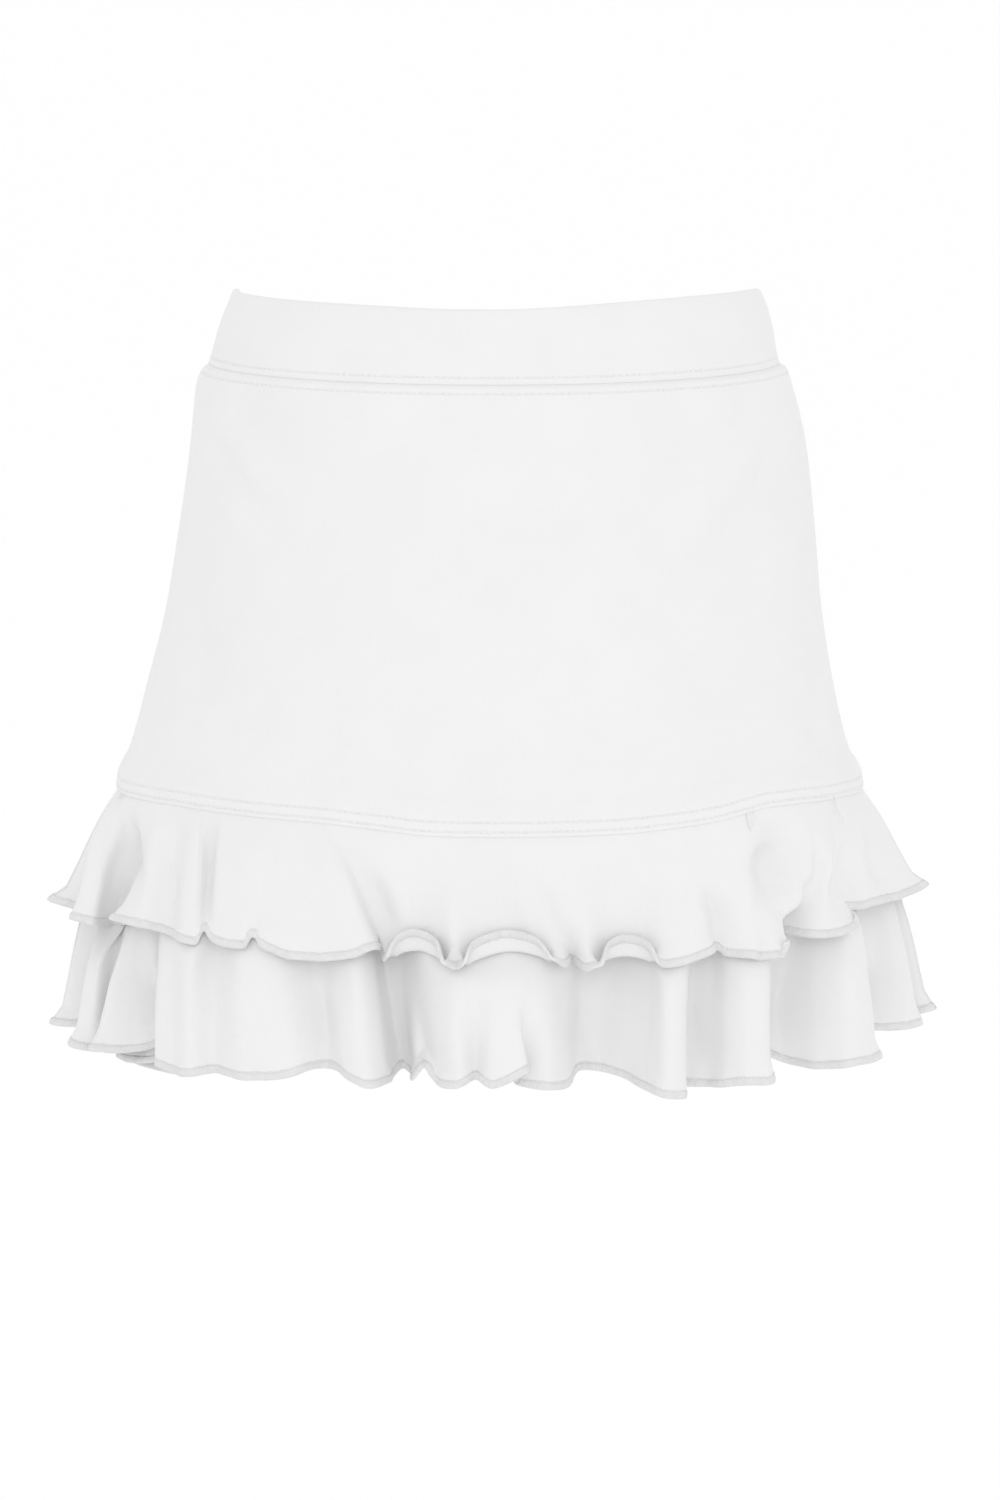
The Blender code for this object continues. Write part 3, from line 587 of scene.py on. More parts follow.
        # the strip at the hem: a turn through the flip over a short arc
        sigma = np.linspace(0.0, ROLL, 44)
        angle = flip[None] * smooth_step(sigma / ROLL_ARC)[:, None]
        step = sigma[1] - sigma[0]
        along = np.concatenate([np.zeros((1, self.columns)), np.cumsum(np.cos(angle[:-1]) * step, 0)])
        aside = np.concatenate([np.zeros((1, self.columns)), np.cumsum(np.sin(angle[:-1]) * step, 0)])
        low = along.max(0)
        lengths = lengths_along(base, 0)
        self.length = lengths[-1] - low + ROLL
        cut = lengths[-1] - low
        shares = np.linspace(0.0, 1.0, rows) ** 0.92
        grid = np.empty((rows, self.columns, 3))
        for c in range(self.columns):
            at = shares * cut[c]
            for axis in range(3):
                grid[:, c, axis] = np.interp(at, lengths[:, c], base[:, c, axis])
        direction = unit(grid[-1] - grid[-3])
        tangent = np.roll(grid[-1], -2, 0) - np.roll(grid[-1], 2, 0)
        plan = unit(np.stack([tangent[:, 1], -tangent[:, 0], 0 * tangent[:, 0]], -1))
        radial = unit(grid[-1] * np.array([1.0, 1.0, 0.0]) / np.array([1.0, 0.6, 1.0]))
        outward = unit(0.35 * plan + radial)
        for _ in range(4):
            outward = unit(outward + np.roll(outward, 1, 0) + np.roll(outward, -1, 0))
        outward = unit(outward - direction * (outward * direction).sum(1, keepdims=True))
        strip_rows = 12
        pick = np.linspace(0, len(sigma) - 1, strip_rows).round().astype(int)[1:]
        strip = (
            grid[-1][None]
            + direction[None] * along[pick][..., None]
            + outward[None] * aside[pick][..., None]
        )
        grid = np.concatenate([grid, strip])
        # a rolled overlock edge pulls the cloth into small waves near the hem
        near = lengths_along(grid, 0)
        near = smooth_step(1.0 - (near[-1] - near) / 15.0)
        wave = (
            np.sin(2 * math.pi * self.u / 13.0 + 1.7 * np.sin(self.u / 31.0 + self.seed))
            * (0.6 + 0.4 * np.sin(self.u / 47.0 + 2.0 * self.seed))
        )
        side = unit(0.8 * plan + 0.4 * radial)
        grid = grid + side[None] * (near * near * wave[None] * self.ripple)[..., None]
        # small unevenness of the cloth itself
        down = lengths_along(grid, 0)
        soft = waves(self.u[None] / 9.0, down / 14.0, self.seed) * 0.28
        grid = grid + unit(radial)[None] * (soft * smooth_step(down / 14.0))[..., None]
        # the first rows run up behind the folded edge of the skirt
        tuck = ring_points(SEAM_Z, deg, self.inwards + 1.1)
        tuck[:, 2] += 3.8
        middle = ring_points(SEAM_Z, deg, self.inwards + 0.35)
        middle[:, 2] += 1.4
        self.grid = np.concatenate([tuck[None], middle[None], grid])
        self.direction = unit(self.grid[-1] - self.grid[-3])
        self.deg = deg


def under_seam(points, deg):
    """Height under the line of the seam that carries the tiers."""
    return TIER_TOP_Z + curve(LIFT[0], LIFT[2], turn(deg)) - points[..., 2]


def degrees_of(points):
    return np.degrees(np.arctan2(points[..., 0], -points[..., 1])) % 360.0


def blurred(field, sigma):
    """Gaussian blur, wrapped round the angle and held at the first and last level."""
    reach = int(3 * sigma) + 1
    kernel = np.exp(-0.5 * (np.arange(-reach, reach + 1) / sigma) ** 2)
    kernel /= kernel.sum()
    wide = np.concatenate([field[:, -reach:], field, field[:, :reach]], 1)
    field = sum(k * wide[:, n : n + field.shape[1]] for n, k in enumerate(kernel))
    tall = np.concatenate([field[:1]] * reach + [field] + [field[-1:]] * reach, 0)
    return sum(k * tall[n : n + field.shape[0]] for n, k in enumerate(kernel))


def reach_map(grid, closed=True, inner=False):
    """How far out a surface reaches, by angle (half degrees) and depth under the seam
    (1.5 mm), a little widened and smoothed. The inner map holds its nearest places
    instead, and opens outwards below the hem."""
    if closed:
        grid = np.concatenate([grid, grid[:, :1]], 1)
    rows, columns, _ = grid.shape
    fine_r = np.linspace(0, rows - 1, (rows - 1) * 4 + 1)
    fine_c = np.linspace(0, columns - 1, (columns - 1) * 3 + 1)
    r, c = np.floor(fine_r).astype(int).clip(0, rows - 2), np.floor(fine_c).astype(int).clip(0, columns - 2)
    fr, fc = (fine_r - r)[:, None, None], (fine_c - c)[None, :, None]
    grid = (
        (1 - fr) * ((1 - fc) * grid[r][:, c] + fc * grid[r][:, c + 1])
        + fr * ((1 - fc) * grid[r + 1][:, c] + fc * grid[r + 1][:, c + 1])
    )
    deg = degrees_of(grid)
    a = (deg * 2.0).round().astype(int) % 720
    b = (under_seam(grid, deg) / 1.5).round().astype(int) + 4
    fits = b >= 0
    far = np.hypot(grid[..., 0], grid[..., 1])
    if inner:
        reach = np.full((90, 720), np.inf)
        np.minimum.at(reach, (b[fits], a[fits]), far[fits])
        for k in range(1, len(reach)):
            reach[k] = np.where(np.isinf(reach[k]), reach[k - 1] + 1.5 * BELOW_HEM, reach[k])
        for k in range(len(reach) - 2, -1, -1):
            reach[k] = np.where(np.isinf(reach[k]), reach[k + 1], reach[k])
        widest = np.minimum
    else:
        reach = np.zeros((b.max() + 2, 720))
        np.maximum.at(reach, (b[fits], a[fits]), far[fits])
        for k, row in enumerate(reach):
            filled = np.flatnonzero(row)
            if len(filled) > 300:
                row[:] = np.interp(np.arange(720), filled, row[filled], period=720)
            elif k:
                row[:] = np.where(row > 0, row, reach[k - 1])
        for k in range(len(reach) - 2, -1, -1):
            if not reach[k].any():
                reach[k] = reach[k + 1]
        widest = np.maximum
    wide = reach
    for shift in (1, -1, 2, -2, 3, -3) if inner else (1, -1):
        wide = widest(wide, np.roll(reach, shift, 1))
    return blurred(wide, 2.8 if inner else 1.8)


def pushed(points, clear, reach, inner=False):
    """Points moved outwards where they come closer to a reach map than clear, or
    inwards where the map is an inner one."""
    far = np.hypot(points[..., 0], points[..., 1])
    deg = degrees_of(points)
    under = under_seam(points, deg)
    angle = deg * 2.0
    level = np.clip(under / 1.5 + 4.0, 0, len(reach) - 1.001)
    a, b = np.floor(angle).astype(int), np.floor(level).astype(int)
    fa, fb = angle - a, level - b
    a, a1, b1 = a % 720, (a + 1) % 720, b + 1
    way = -1.0 if inner else 1.0
    limit = way * clear * smooth_step(under / 14.0) + (
        (1 - fb) * ((1 - fa) * reach[b, a] + fa * reach[b, a1])
        + fb * ((1 - fa) * reach[b1, a] + fa * reach[b1, a1])
    )
    gap = way * (far - limit)
    soft = 2.0 * smooth_step(under / 14.0) + 0.02
    new = limit + way * 0.5 * (gap + np.sqrt(gap * gap + soft * soft))
    share = smooth_step(under / 3.5) if inner else smooth_step((under - 1.0) / 9.0)
    scale = 1.0 + (new / far - 1.0) * share
    return points * np.stack([scale, scale, np.ones_like(scale)], -1)


# ================================================================ meshes
def grid_quads(rows, columns, base=0, closed=False, wrap_rows=False):
    r = np.arange(rows if wrap_rows else rows - 1)[:, None]
    c = np.arange(columns if closed else columns - 1)[None]
    r1, c1 = (r + 1) % rows, (c + 1) % columns
    a, b, d, e = r * columns + c, r * columns + c1, r1 * columns + c1, r1 * columns + c
    return base + np.stack([a, e, d, b], -1).reshape(-1, 4)


def mesh_object(name, points, faces, material, uvs=None, second=None):
    """points in mm; uvs and second are one pair a point."""
    mesh = bpy.data.meshes.new(name)
    mesh.from_pydata((points / 1000.0).tolist(), [], faces)
    mesh.update()
    mesh.polygons.foreach_set("use_smooth", np.ones(len(mesh.polygons), bool))
    loops = np.empty(len(mesh.loops), np.int32)
    mesh.loops.foreach_get("vertex_index", loops)
    for title, pairs in (("Cloth", uvs), ("Seam", second)):
        if pairs is not None:
            layer = mesh.uv_layers.new(name=title)
            layer.data.foreach_set("uv", np.asarray(pairs, np.float32)[loops].ravel())
    mesh.materials.append(material)
    obj = bpy.data.objects.new(name, mesh)
    bpy.context.scene.collection.objects.link(obj)
    return obj


def normals_of(grid, closed):
    if closed:
        across = np.roll(grid, -1, 1) - np.roll(grid, 1, 1)
    else:
        across = np.gradient(grid, axis=1)
    down = np.gradient(grid, axis=0)
    return unit(np.cross(down, across))


def shell(name, outer, inner, closed, material, uv, second=None, round_end=None):
    """A thin closed wall between two grids (rows down, columns round). round_end adds
    a rounded rim under the last row."""
    rows, columns, _ = outer.shape
    loop = [outer]
    uvs = [uv]
    seconds = [second]
    rim = 0
    if round_end:
        rim = round_end
        middle = (outer[-1] + inner[-1]) / 2.0
        side = (outer[-1] - inner[-1]) / 2.0
        half = np.linalg.norm(side, axis=1, keepdims=True)
        along = unit(outer[-1] - outer[-2])
        along = unit(along - unit(side) * (along * unit(side)).sum(1, keepdims=True)) * half
        angles = np.linspace(0, math.pi, rim + 2)[1:-1]
        loop.append(np.array([middle + side * math.cos(a) + along * math.sin(a) for a in angles]))
        uvs.append(np.repeat(uv[-1:], rim, 0))
        seconds.append(None if second is None else np.repeat(second[-1:], rim, 0))
    loop.append(inner[::-1])
    uvs.append(uv[::-1])
    seconds.append(None if second is None else second[::-1])
    points = np.concatenate(loop)
    total = len(points)
    faces = grid_quads(total, columns, closed=closed, wrap_rows=True).tolist()
    if not closed:
        for c, turned in ((0, False), (columns - 1, True)):
            for r in range(rows - 1):
                a, b = r * columns + c, (r + 1) * columns + c
                d, e = (total - 2 - r) * columns + c, (total - 1 - r) * columns + c
                faces.append([a, b, d, e][:: 1 if not turned else -1])
            if rim:
                fan = [k * columns + c for k in range(rows - 1, rows + rim + 1)]
                faces.append(fan[:: 1 if not turned else -1])
    pairs = np.concatenate(uvs).reshape(-1, 2)
    more = None if second is None else np.concatenate(seconds).reshape(-1, 2)
    return mesh_object(name, points.reshape(-1, 3), faces, material, pairs, more)


def joined(name, parts, material):
    """One object of many small (points, faces) parts."""
    points, faces, base = [], [], 0
    for p, f in parts:
        points.append(p)
        faces.append(np.asarray(f) + base)
        base += len(p)
    return mesh_object(name, np.concatenate(points), np.concatenate(faces).tolist(), material)


def tube(path, radius, sides=8, flat=None):
    """Points and quads of a tube along a path, its ends left open. flat holds the
    two directions of its cross-section, worked out if left out."""
    path = np.asarray(path, float)
    forward = unit(np.gradient(path, axis=0))
    if flat is None:
        up = np.array([0.0, 0.0, 1.0])
        side = unit(np.cross(forward, up) + 1e-6)
        other = unit(np.cross(side, forward))
    else:
        side, other = flat
    angles = np.linspace(0, 2 * math.pi, sides, endpoint=False)
    radius = np.broadcast_to(radius, (len(path),))[:, None, None]
    ring = (
        path[:, None]
        + radius * np.cos(angles)[None, :, None] * side[:, None]
        + radius * np.sin(angles)[None, :, None] * other[:, None]
    )
    return ring.reshape(-1, 3), grid_quads(len(path), sides, closed=True)


# ================================================================ skirt and band
def creased(points, z, deg):
    """Skirt points moved inwards by its soft creases and slight unevenness."""
    girth = 2.2
    move = np.zeros(np.broadcast(z, deg).shape)
    for deg_a, z_a, deg_b, z_b, half, depth in CREASES:
        a = np.array([deg_a * girth, z_a])
        run = np.array([deg_b * girth, z_b]) - a
        long = np.hypot(*run)
        x, y = turn(deg - (deg_a + deg_b) / 2.0) * girth + (deg_a + deg_b) / 2.0 * girth - a[0], z - a[1]
        t = np.clip((x * run[0] + y * run[1]) / long**2, 0.0, 1.0)
        away = np.hypot(x - t * run[0], y - t * run[1])
        ends = smooth_step(t * 3.0) * smooth_step((1.0 - t) * 3.0) * 0.7 + 0.3
        valley = np.exp(-((away / half) ** 2)) - 0.45 * np.exp(-(((away - 1.9 * half) / half) ** 2))
        move = move + depth * valley * ends
    free = smooth_step((-22.0 - z) / 25.0) * smooth_step((z + 192.0) / 20.0)
    uneven = waves(np.radians(deg) * 6.0, z / 26.0, 5, 6) * 0.30
    move = (1.7 * move + uneven) * free
    outward = unit(points * np.array([1.0, 1.0, 0.0]))
    return points - outward * move[..., None]


def groove(distance, at, half, depth):
    return depth * np.exp(-(((distance - at) / half) ** 2))




def ring_length(z, inwards=0.0):
    deg = np.linspace(0.0, 360.0, 721)
    return float(lengths_along(ring_points(z, deg, inwards), 0)[-1])


def stitch_counts():
    return round(ring_length(-15.0) / STITCH), round(ring_length(SEAM_Z + 3.8) / STITCH)


def skirt_surface(z, deg):
    """Outer face of the skirt at level-ring height z, with its seams and creases."""
    z, deg = np.broadcast_arrays(np.asarray(z, float), np.asarray(deg, float))
    under = -15.3 - z
    above = z - SKIRT_END
    inwards = 0.08 * smooth_step(1.0 - under / 1.1) ** 2
    inwards = inwards + groove(under, WAIST_ROWS[1] - 0.3, 0.6, 0.10)
    inwards = inwards - groove(under, 1.7, 0.9, 0.10)
    for row in SEAM_ROWS:
        inwards = inwards + groove(above, row, 0.6, 0.17)
    inwards = inwards - groove(above, sum(SEAM_ROWS) / 2.0, 1.3, 0.12)
    inwards = inwards + 0.65 * smooth_step(1.0 - above / 0.7) ** 2
    side = np.minimum(np.abs(turn(deg - 90.0)), np.abs(turn(deg + 90.0))) * 2.4
    inwards = inwards + 0.38 * np.exp(-((side / 0.55) ** 2)) * smooth_step(under / 4.0)
    inwards = inwards - 0.16 * np.exp(-(((side - 2.2) / 1.3) ** 2)) * smooth_step(under / 6.0) * smooth_step(above / 8.0)
    return creased(ring_points(z, deg, inwards), z, deg)


def skirt_levels():
    top = np.linspace(-14.98, -20.5, 17)
    middle = np.linspace(-20.5, -188.0, 52)[1:-1]
    bottom = np.linspace(-188.0, SKIRT_END + 0.5, 26)
    return np.concatenate([top, middle, bottom])


def skirt_degrees(start, end, count=170):
    inner = np.linspace(start, end, count)
    edge = np.array([0.02, 0.12, 0.25, 0.45, 0.7, 1.0, 1.4])
    rest = inner[(inner > start + 1.8) & (inner < end - 1.8)]
    return np.concatenate([start + edge, rest, end - edge[::-1]])


def skirt_panel(name, start, end, material):
    z = skirt_levels()[:, None]
    deg = skirt_degrees(start, end)[None]
    outer = skirt_surface(z, deg)
    normal = normals_of(outer, False)
    normal[:2, :, 2] = 0.0
    normal = unit(normal)
    thick = 1.15 + 0.25 * smooth_step((SKIRT_END + 9.5 - z) / 1.0)
    inner = outer - normal * thick[..., None]
    down = lengths_along(outer, 0)
    around = lengths_along(ring_points(-100.0, deg[0]), 0)
    uv = np.stack([np.broadcast_to(around[None], down.shape), -down], -1) / 1000.0
    waist, seam = stitch_counts()
    lower = z < -100.0
    count = np.where(lower, seam, waist) * deg / 360.0
    away = np.where(lower, 300.0 - (z - SKIRT_END) + 0 * deg, -15.3 - z + 0.3 + 0 * deg)
    second = np.stack([np.broadcast_to(count, down.shape), away], -1)
    return shell(name, outer, inner, False, material, uv, second, round_end=4)


def band_section():
    """z and depth in from the outer face: the cloth's outer half up from the seam, over
    the fold at the top, and down its inner half to the seam. The two raw edges meet there
    and aren't joined."""
    rows = [(-14.95, 1.42), (-15.0, 1.1)]
    for z in np.concatenate([np.linspace(-14.96, -9.0, 22), np.linspace(-8.0, 12.6, 16)]):
        inwards = 0.07 * smooth_step(1.0 - (z + 15.0) / 1.0) ** 2
        inwards += groove(z + 15.0, WAIST_ROWS[0], 0.6, 0.10)
        inwards -= groove(z + 15.0, 1.4, 0.8, 0.10)
        inwards -= 0.35 * smooth_step((z + 9.0) / 8.0) * smooth_step((12.6 - z) / 8.0)
        rows.append((z, inwards))
    radius = BAND_WALL / 2.0
    for a in np.linspace(0, math.pi, 13)[1:-1]:
        rows.append((BAND_HALF - radius + radius * math.sin(a), radius - radius * math.cos(a)))
    for z in np.linspace(12.6, -14.4, 14):
        rows.append((z, BAND_WALL - 0.25 * smooth_step((z + 12.0) / 6.0) * smooth_step((11.0 - z) / 6.0)))
    rows += [(-14.85, 2.4), (-15.0, 1.9), (-14.95, 1.58)]
    return np.array(rows)


def waistband(material):
    section = band_section()
    columns = 420
    deg = np.linspace(-180.0, 180.0, columns, endpoint=False)[None]
    z = section[:, :1]
    uneven = waves(np.radians(deg) * 9.0, z / 12.0, 11, 5) * 0.14 * smooth_step((z + 11.0) / 8.0)
    seam = 0.3 * np.exp(-((turn(deg + 90.0) * 2.0 / 0.6) ** 2))
    points = ring_points(z, deg, section[:, 1:] + uneven + seam)
    knot = np.exp(-((turn(deg + 87.0) / 1.6) ** 2)) * smooth_step((z - 10.0) / 4.0)
    points[..., 2] += 1.0 * knot
    down = lengths_along(points, 0)
    around = lengths_along(ring_points(0.0, np.append(deg[0], 180.0)), 0)[:-1]
    uv = np.stack([np.broadcast_to(around[None], down.shape), down], -1) / 1000.0
    waist, _ = stitch_counts()
    face = np.where(np.arange(len(section))[:, None] < 45, 50.0, 80.0)
    second = np.stack([np.broadcast_to(waist * deg / 360.0, down.shape), z + 15.0 + face + 0 * deg], -1)
    faces = grid_quads(len(section), columns, closed=True)[:, ::-1].tolist()
    return mesh_object(
        "waistband_cloth", points.reshape(-1, 3), faces, material, uv.reshape(-1, 2), second.reshape(-1, 2)
    )


# ================================================================ sewing
def stitches_on(surface, count, phase, seed, skip=()):
    """A row of stitches lying on surface(degrees) -> points, each a short thread that
    dips into the cloth at both ends."""
    pick = np.random.default_rng(seed)
    parts = []
    shares = np.array([0.07, 0.2, 0.5, 0.8, 0.93])
    lifts = np.array([-0.22, 0.06, 0.16, 0.06, -0.22])
    radii = np.array([0.35, 0.95, 1.0, 0.95, 0.35]) * THREAD
    starts = np.arange(count)
    jitter = pick.uniform(-0.03, 0.03, (count, 2))
    deg = (starts[:, None] + phase + jitter[:, :1] + shares[None]) * 360.0 / count - 180.0
    points, outward = surface(deg)
    for k in range(count):
        if any(low < deg[k, 2] < high for low, high in skip):
            continue
        path = points[k] + outward[k] * lifts[:, None]
        side = outward[k]
        other = unit(np.cross(unit(np.gradient(path, axis=0)), side))
        parts.append(tube(path, radii, 6, (side, other)))
    return parts


def skirt_row(z):
    def surface(deg):
        points = skirt_surface(z, deg)
        return points, outward_at(deg)
    return surface


def band_row(z, inwards):
    def surface(deg):
        return ring_points(z, deg, inwards), outward_at(deg)
    return surface


def outward_at(deg):
    sizes = halves(-100.0)
    x, y = flat_point(deg, sizes)
    wide = np.where(x > 0, sizes[0], sizes[1])
    deep = np.where(y > 0, sizes[3], sizes[2])
    return unit(np.stack([x / wide**2, y / deep**2, 0 * x], -1))


def eased(values, sigma):
    """Values along a path, smoothed with a Gaussian, ends held."""
    reach = int(3 * sigma) + 1
    kernel = np.exp(-0.5 * (np.arange(-reach, reach + 1) / sigma) ** 2)
    kernel /= kernel.sum()
    first = 2 * values[:1] - values[reach:0:-1]
    last = 2 * values[-1:] - values[-2 : -reach - 2 : -1]
    wide = np.concatenate([first, values, last])
    return sum(k * wide[n : n + len(values)] for n, k in enumerate(kernel))


def merrow(name, tier, span, material):
    """The rolled overlock edge along a part of a tier's hem: a flat cord of thread
    wound in slanting ribs."""
    total = tier.hem_length
    edge = tier.grid[-1]
    along = np.append(lengths_along(edge, 0), 0.0)
    closed = np.concatenate([edge, edge[:1]])
    along = lengths_along(closed, 0)
    direction = np.concatenate([tier.direction, tier.direction[:1]])
    first, last = span
    low, high = along[first], along[last] if last < len(along) else along[-1]
    count = int((high - low) / 0.31)
    at = np.linspace(low, high, count)
    path = np.stack([np.interp(at, along, closed[:, k]) for k in range(3)], -1)
    down = np.stack([np.interp(at, along, direction[:, k]) for k in range(3)], -1)
    path = eased(path, 4.0)
    down = unit(eased(down, 7.0))
    forward = unit(np.gradient(path, axis=0))
    down = unit(down - forward * (down * forward).sum(1, keepdims=True))
    side = unit(np.cross(down, forward))
    angles = np.linspace(0, 2 * math.pi, 12, endpoint=False)
    uneven = 0.06 * np.sin(at / 5.3) + 0.05 * np.sin(at / 2.1 + 1.0)
    slant = 2 * math.pi * (at[:, None] / MERROW_PITCH) + 1.5 * np.cos(angles)[None]
    rib = 1.0 + 0.10 * np.cos(slant) + uneven[:, None] * 0.5
    tall = MERROW_HALF * (1.0 + 0.05 * np.sin(at / 3.7 + 0.4))
    c, s = np.cos(angles), np.sin(angles)
    up_down = (np.sign(c) * np.abs(c) ** 0.75)[None] * tall[:, None] * (1.0 + 0.25 * (rib - 1.0))
    across = (np.sign(s) * np.abs(s) ** 0.65)[None] * MERROW_THICK * rib
    centre = path - down * (MERROW_HALF * 0.92)
    ring = centre[:, None] + up_down[..., None] * down[:, None] + across[..., None] * side[:, None]
    quads = grid_quads(count, 12, closed=True)[:, ::-1].tolist()
    quads.append(list(range(12)))
    quads.append([(count - 1) * 12 + k for k in range(11, -1, -1)])
    around = np.cumsum(np.full(12, 0.6))
    uv = np.stack(np.broadcast_arrays(at[:, None], around[None]), -1).reshape(-1, 2) / 1000.0
    return mesh_object(name, ring.reshape(-1, 3), quads, material, uv)


def tier_panel(name, tier, span, material):
    first, last = span
    index = np.arange(first, last + 1) % tier.columns
    normal = normals_of(tier.grid, True)
    normal[0, :, 2] = 0.0
    normal = unit(normal)
    grid = tier.grid[:, index].copy()
    normal = normal[:, index]
    # the panels meet in a narrow seam at the sides
    grid[:, 0] += unit(grid[:, 1] - grid[:, 0]) * 0.05
    grid[:, -1] += unit(grid[:, -2] - grid[:, -1]) * 0.05
    down = lengths_along(grid, 0)
    u = (tier.u[index[0]] + np.arange(len(index)) * tier.hem_length / tier.columns)[None]
    uv = np.stack([np.broadcast_to(u, down.shape), -down], -1) / 1000.0
    second = np.stack([np.broadcast_to(u / MERROW_PITCH, down.shape), down[-1:] - down], -1)
    return shell(name, grid + normal * CLOTH_HALF, grid - normal * CLOTH_HALF, False, material, uv, second)


# ================================================================ inner shorts
SHORT = table(SHORT_ROWS)


def short_grid(levels, places):
    """Middle of the wall of the leg on the +X side; places run 0 at the front seam,
    over the side, to 1 at the back seam."""
    z, v = np.meshgrid(levels, places, indexing="ij")
    wide, front, back = (np.interp(z, SHORT[0], SHORT[k]) for k in (1, 2, 3))
    inner, deep_leg = (np.interp(z, SHORT[0], SHORT[k]) for k in (4, 5))
    deep_leg = np.where(z > -146.0, 84.0, deep_leg)
    s = np.clip((CROTCH_RISE_Z - z) / (CROTCH_RISE_Z - CROTCH_Z), 0.0, 1.0)
    legness = 1.0 - np.sqrt(np.maximum(0.0, 1.0 - s * s))
    angle = math.pi * v
    deep = front + (back - front) * smooth_step((v - 0.3) / 0.4)
    x = np.maximum(wide * np.sin(angle), SEAM_GAP)
    y = -deep * np.cos(angle)
    turned = 2.0 * math.pi * v * 0.994 + 2.0 * math.pi * 0.003
    centre, radius = (inner + wide) / 2.0, (wide - inner) / 2.0
    leg_x = centre - radius * np.cos(turned)
    leg_y = -deep_leg * np.sin(turned)
    x = x * (1 - legness) + leg_x * legness
    y = y * (1 - legness) + leg_y * legness
    x = np.maximum(x, SEAM_GAP + SHORT_WALL / 2.0)
    deg = np.degrees(np.arctan2(x / wide, -y / deep))
    return np.stack([x, y, height(z, deg)], -1)


def short_leg(name, mirrored, material):
    levels = np.concatenate([np.linspace(-16.0, -110.0, 22), np.linspace(-114.0, -224.0, 42),
                             np.linspace(-226.0, -240.0, 26)[1:]])
    places = np.linspace(0.0, 1.0, 97)
    grid = short_grid(levels, places)
    z = levels[:, None]
    above = z + 240.0
    ruck = waves(places[None] * 14.0, z / 17.0, 23 + mirrored, 6) * 0.35
    ruck = ruck * smooth_step((-24.0 - z) / 30.0) * smooth_step(above / 30.0)
    if mirrored:
        grid = grid[:, ::-1] * np.array([-1.0, 1.0, 1.0])
        ruck = ruck[:, ::-1]
    normal = normals_of(grid, False)
    hem = sum(groove(above, row, 0.5, 0.22) for row in SHORT_HEM_ROWS)
    fold = 0.22 * smooth_step((13.0 - above) / 0.9)
    grid = grid + normal * ruck[..., None]
    outer = grid + normal * (0.42 + fold - hem)[..., None]
    inner = grid - normal * (0.42 + fold)[..., None]
    down = lengths_along(grid, 0)
    around = lengths_along(grid[40], 0)
    uv = np.stack([np.broadcast_to(around[None], down.shape), -down], -1) / 1000.0
    leg = shell(name, outer, inner, False, material, uv, round_end=3)
    # stitches of its turned hem
    rows = []
    for row in SHORT_HEM_ROWS:
        k = int(np.argmin(np.abs(levels + 240.0 - row)))
        line, face = outer[k], normal[k]
        along = lengths_along(line, 0)
        count = int(along[-1] / STITCH)
        shares = np.array([0.07, 0.2, 0.5, 0.8, 0.93])
        lifts = np.array([-0.22, 0.06, 0.16, 0.06, -0.22])
        radii = np.array([0.35, 0.95, 1.0, 0.95, 0.35]) * THREAD
        for n in range(count):
            at = (n + shares) * along[-1] / count
            path = np.stack([np.interp(at, along, line[:, a]) for a in range(3)], -1)
            side = unit(np.stack([np.interp(at, along, face[:, a]) for a in range(3)], -1))
            path = path + side * (lifts[:, None] + 0.1)
            other = unit(np.cross(unit(np.gradient(path, axis=0)), side))
            rows.append(tube(path, radii, 6, (side, other)))
    return leg, rows


# ================================================================ materials
def new_material(name, color, roughness, sheen):
    material = bpy.data.materials.new(name)
    material.use_nodes = True
    shader = material.node_tree.nodes["Principled BSDF"]
    shader.inputs["Base Color"].default_value = (*color, 1.0)
    shader.inputs["Roughness"].default_value = roughness
    shader.inputs["Specular IOR Level"].default_value = 0.25
    shader.inputs["Sheen Weight"].default_value = sheen
    shader.inputs["Sheen Roughness"].default_value = 0.5
    shader.inputs["Sheen Tint"].default_value = (1.0, 1.0, 1.0, 1.0)
    return material, material.node_tree, shader


class Nodes:
    """Short ways to add nodes."""

    def __init__(self, tree):
        self.tree = tree

    def add(self, kind, **settings):
        node = self.tree.nodes.new(kind)
        for key, value in settings.items():
            setattr(node, key, value)
        return node

    def link(self, source, target):
        if isinstance(source, (int, float)):
            target.default_value = source
        else:
            self.tree.links.new(source, target)

    def math(self, operation, a, b=0.0, c=0.0):
        node = self.add("ShaderNodeMath", operation=operation)
        for value, socket in zip((a, b, c), node.inputs):
            self.link(value, socket)
        return node.outputs[0]

    def noise(self, vector, scale, detail=2.0, roughness=0.5):
        node = self.add("ShaderNodeTexNoise")
        self.link(vector, node.inputs["Vector"])
        node.inputs["Scale"].default_value = scale
        node.inputs["Detail"].default_value = detail
        node.inputs["Roughness"].default_value = roughness
        return node.outputs["Fac"]

    def ramp(self, factor, stops):
        node = self.add("ShaderNodeValToRGB")
        self.link(factor, node.inputs[0])
        elements = node.color_ramp.elements
        for k, (place, color) in enumerate(stops):
            element = elements[k] if k < 2 else elements.new(place)
            element.position = place
            element.color = (*color, 1.0)
        return node.outputs["Color"]

    def bump(self, height, strength, distance, normal=None):
        node = self.add("ShaderNodeBump")
        node.inputs["Strength"].default_value = strength
        node.inputs["Distance"].default_value = distance
        self.link(height, node.inputs["Height"])
        if normal is not None:
            self.link(normal, node.inputs["Normal"])
        return node.outputs["Normal"]


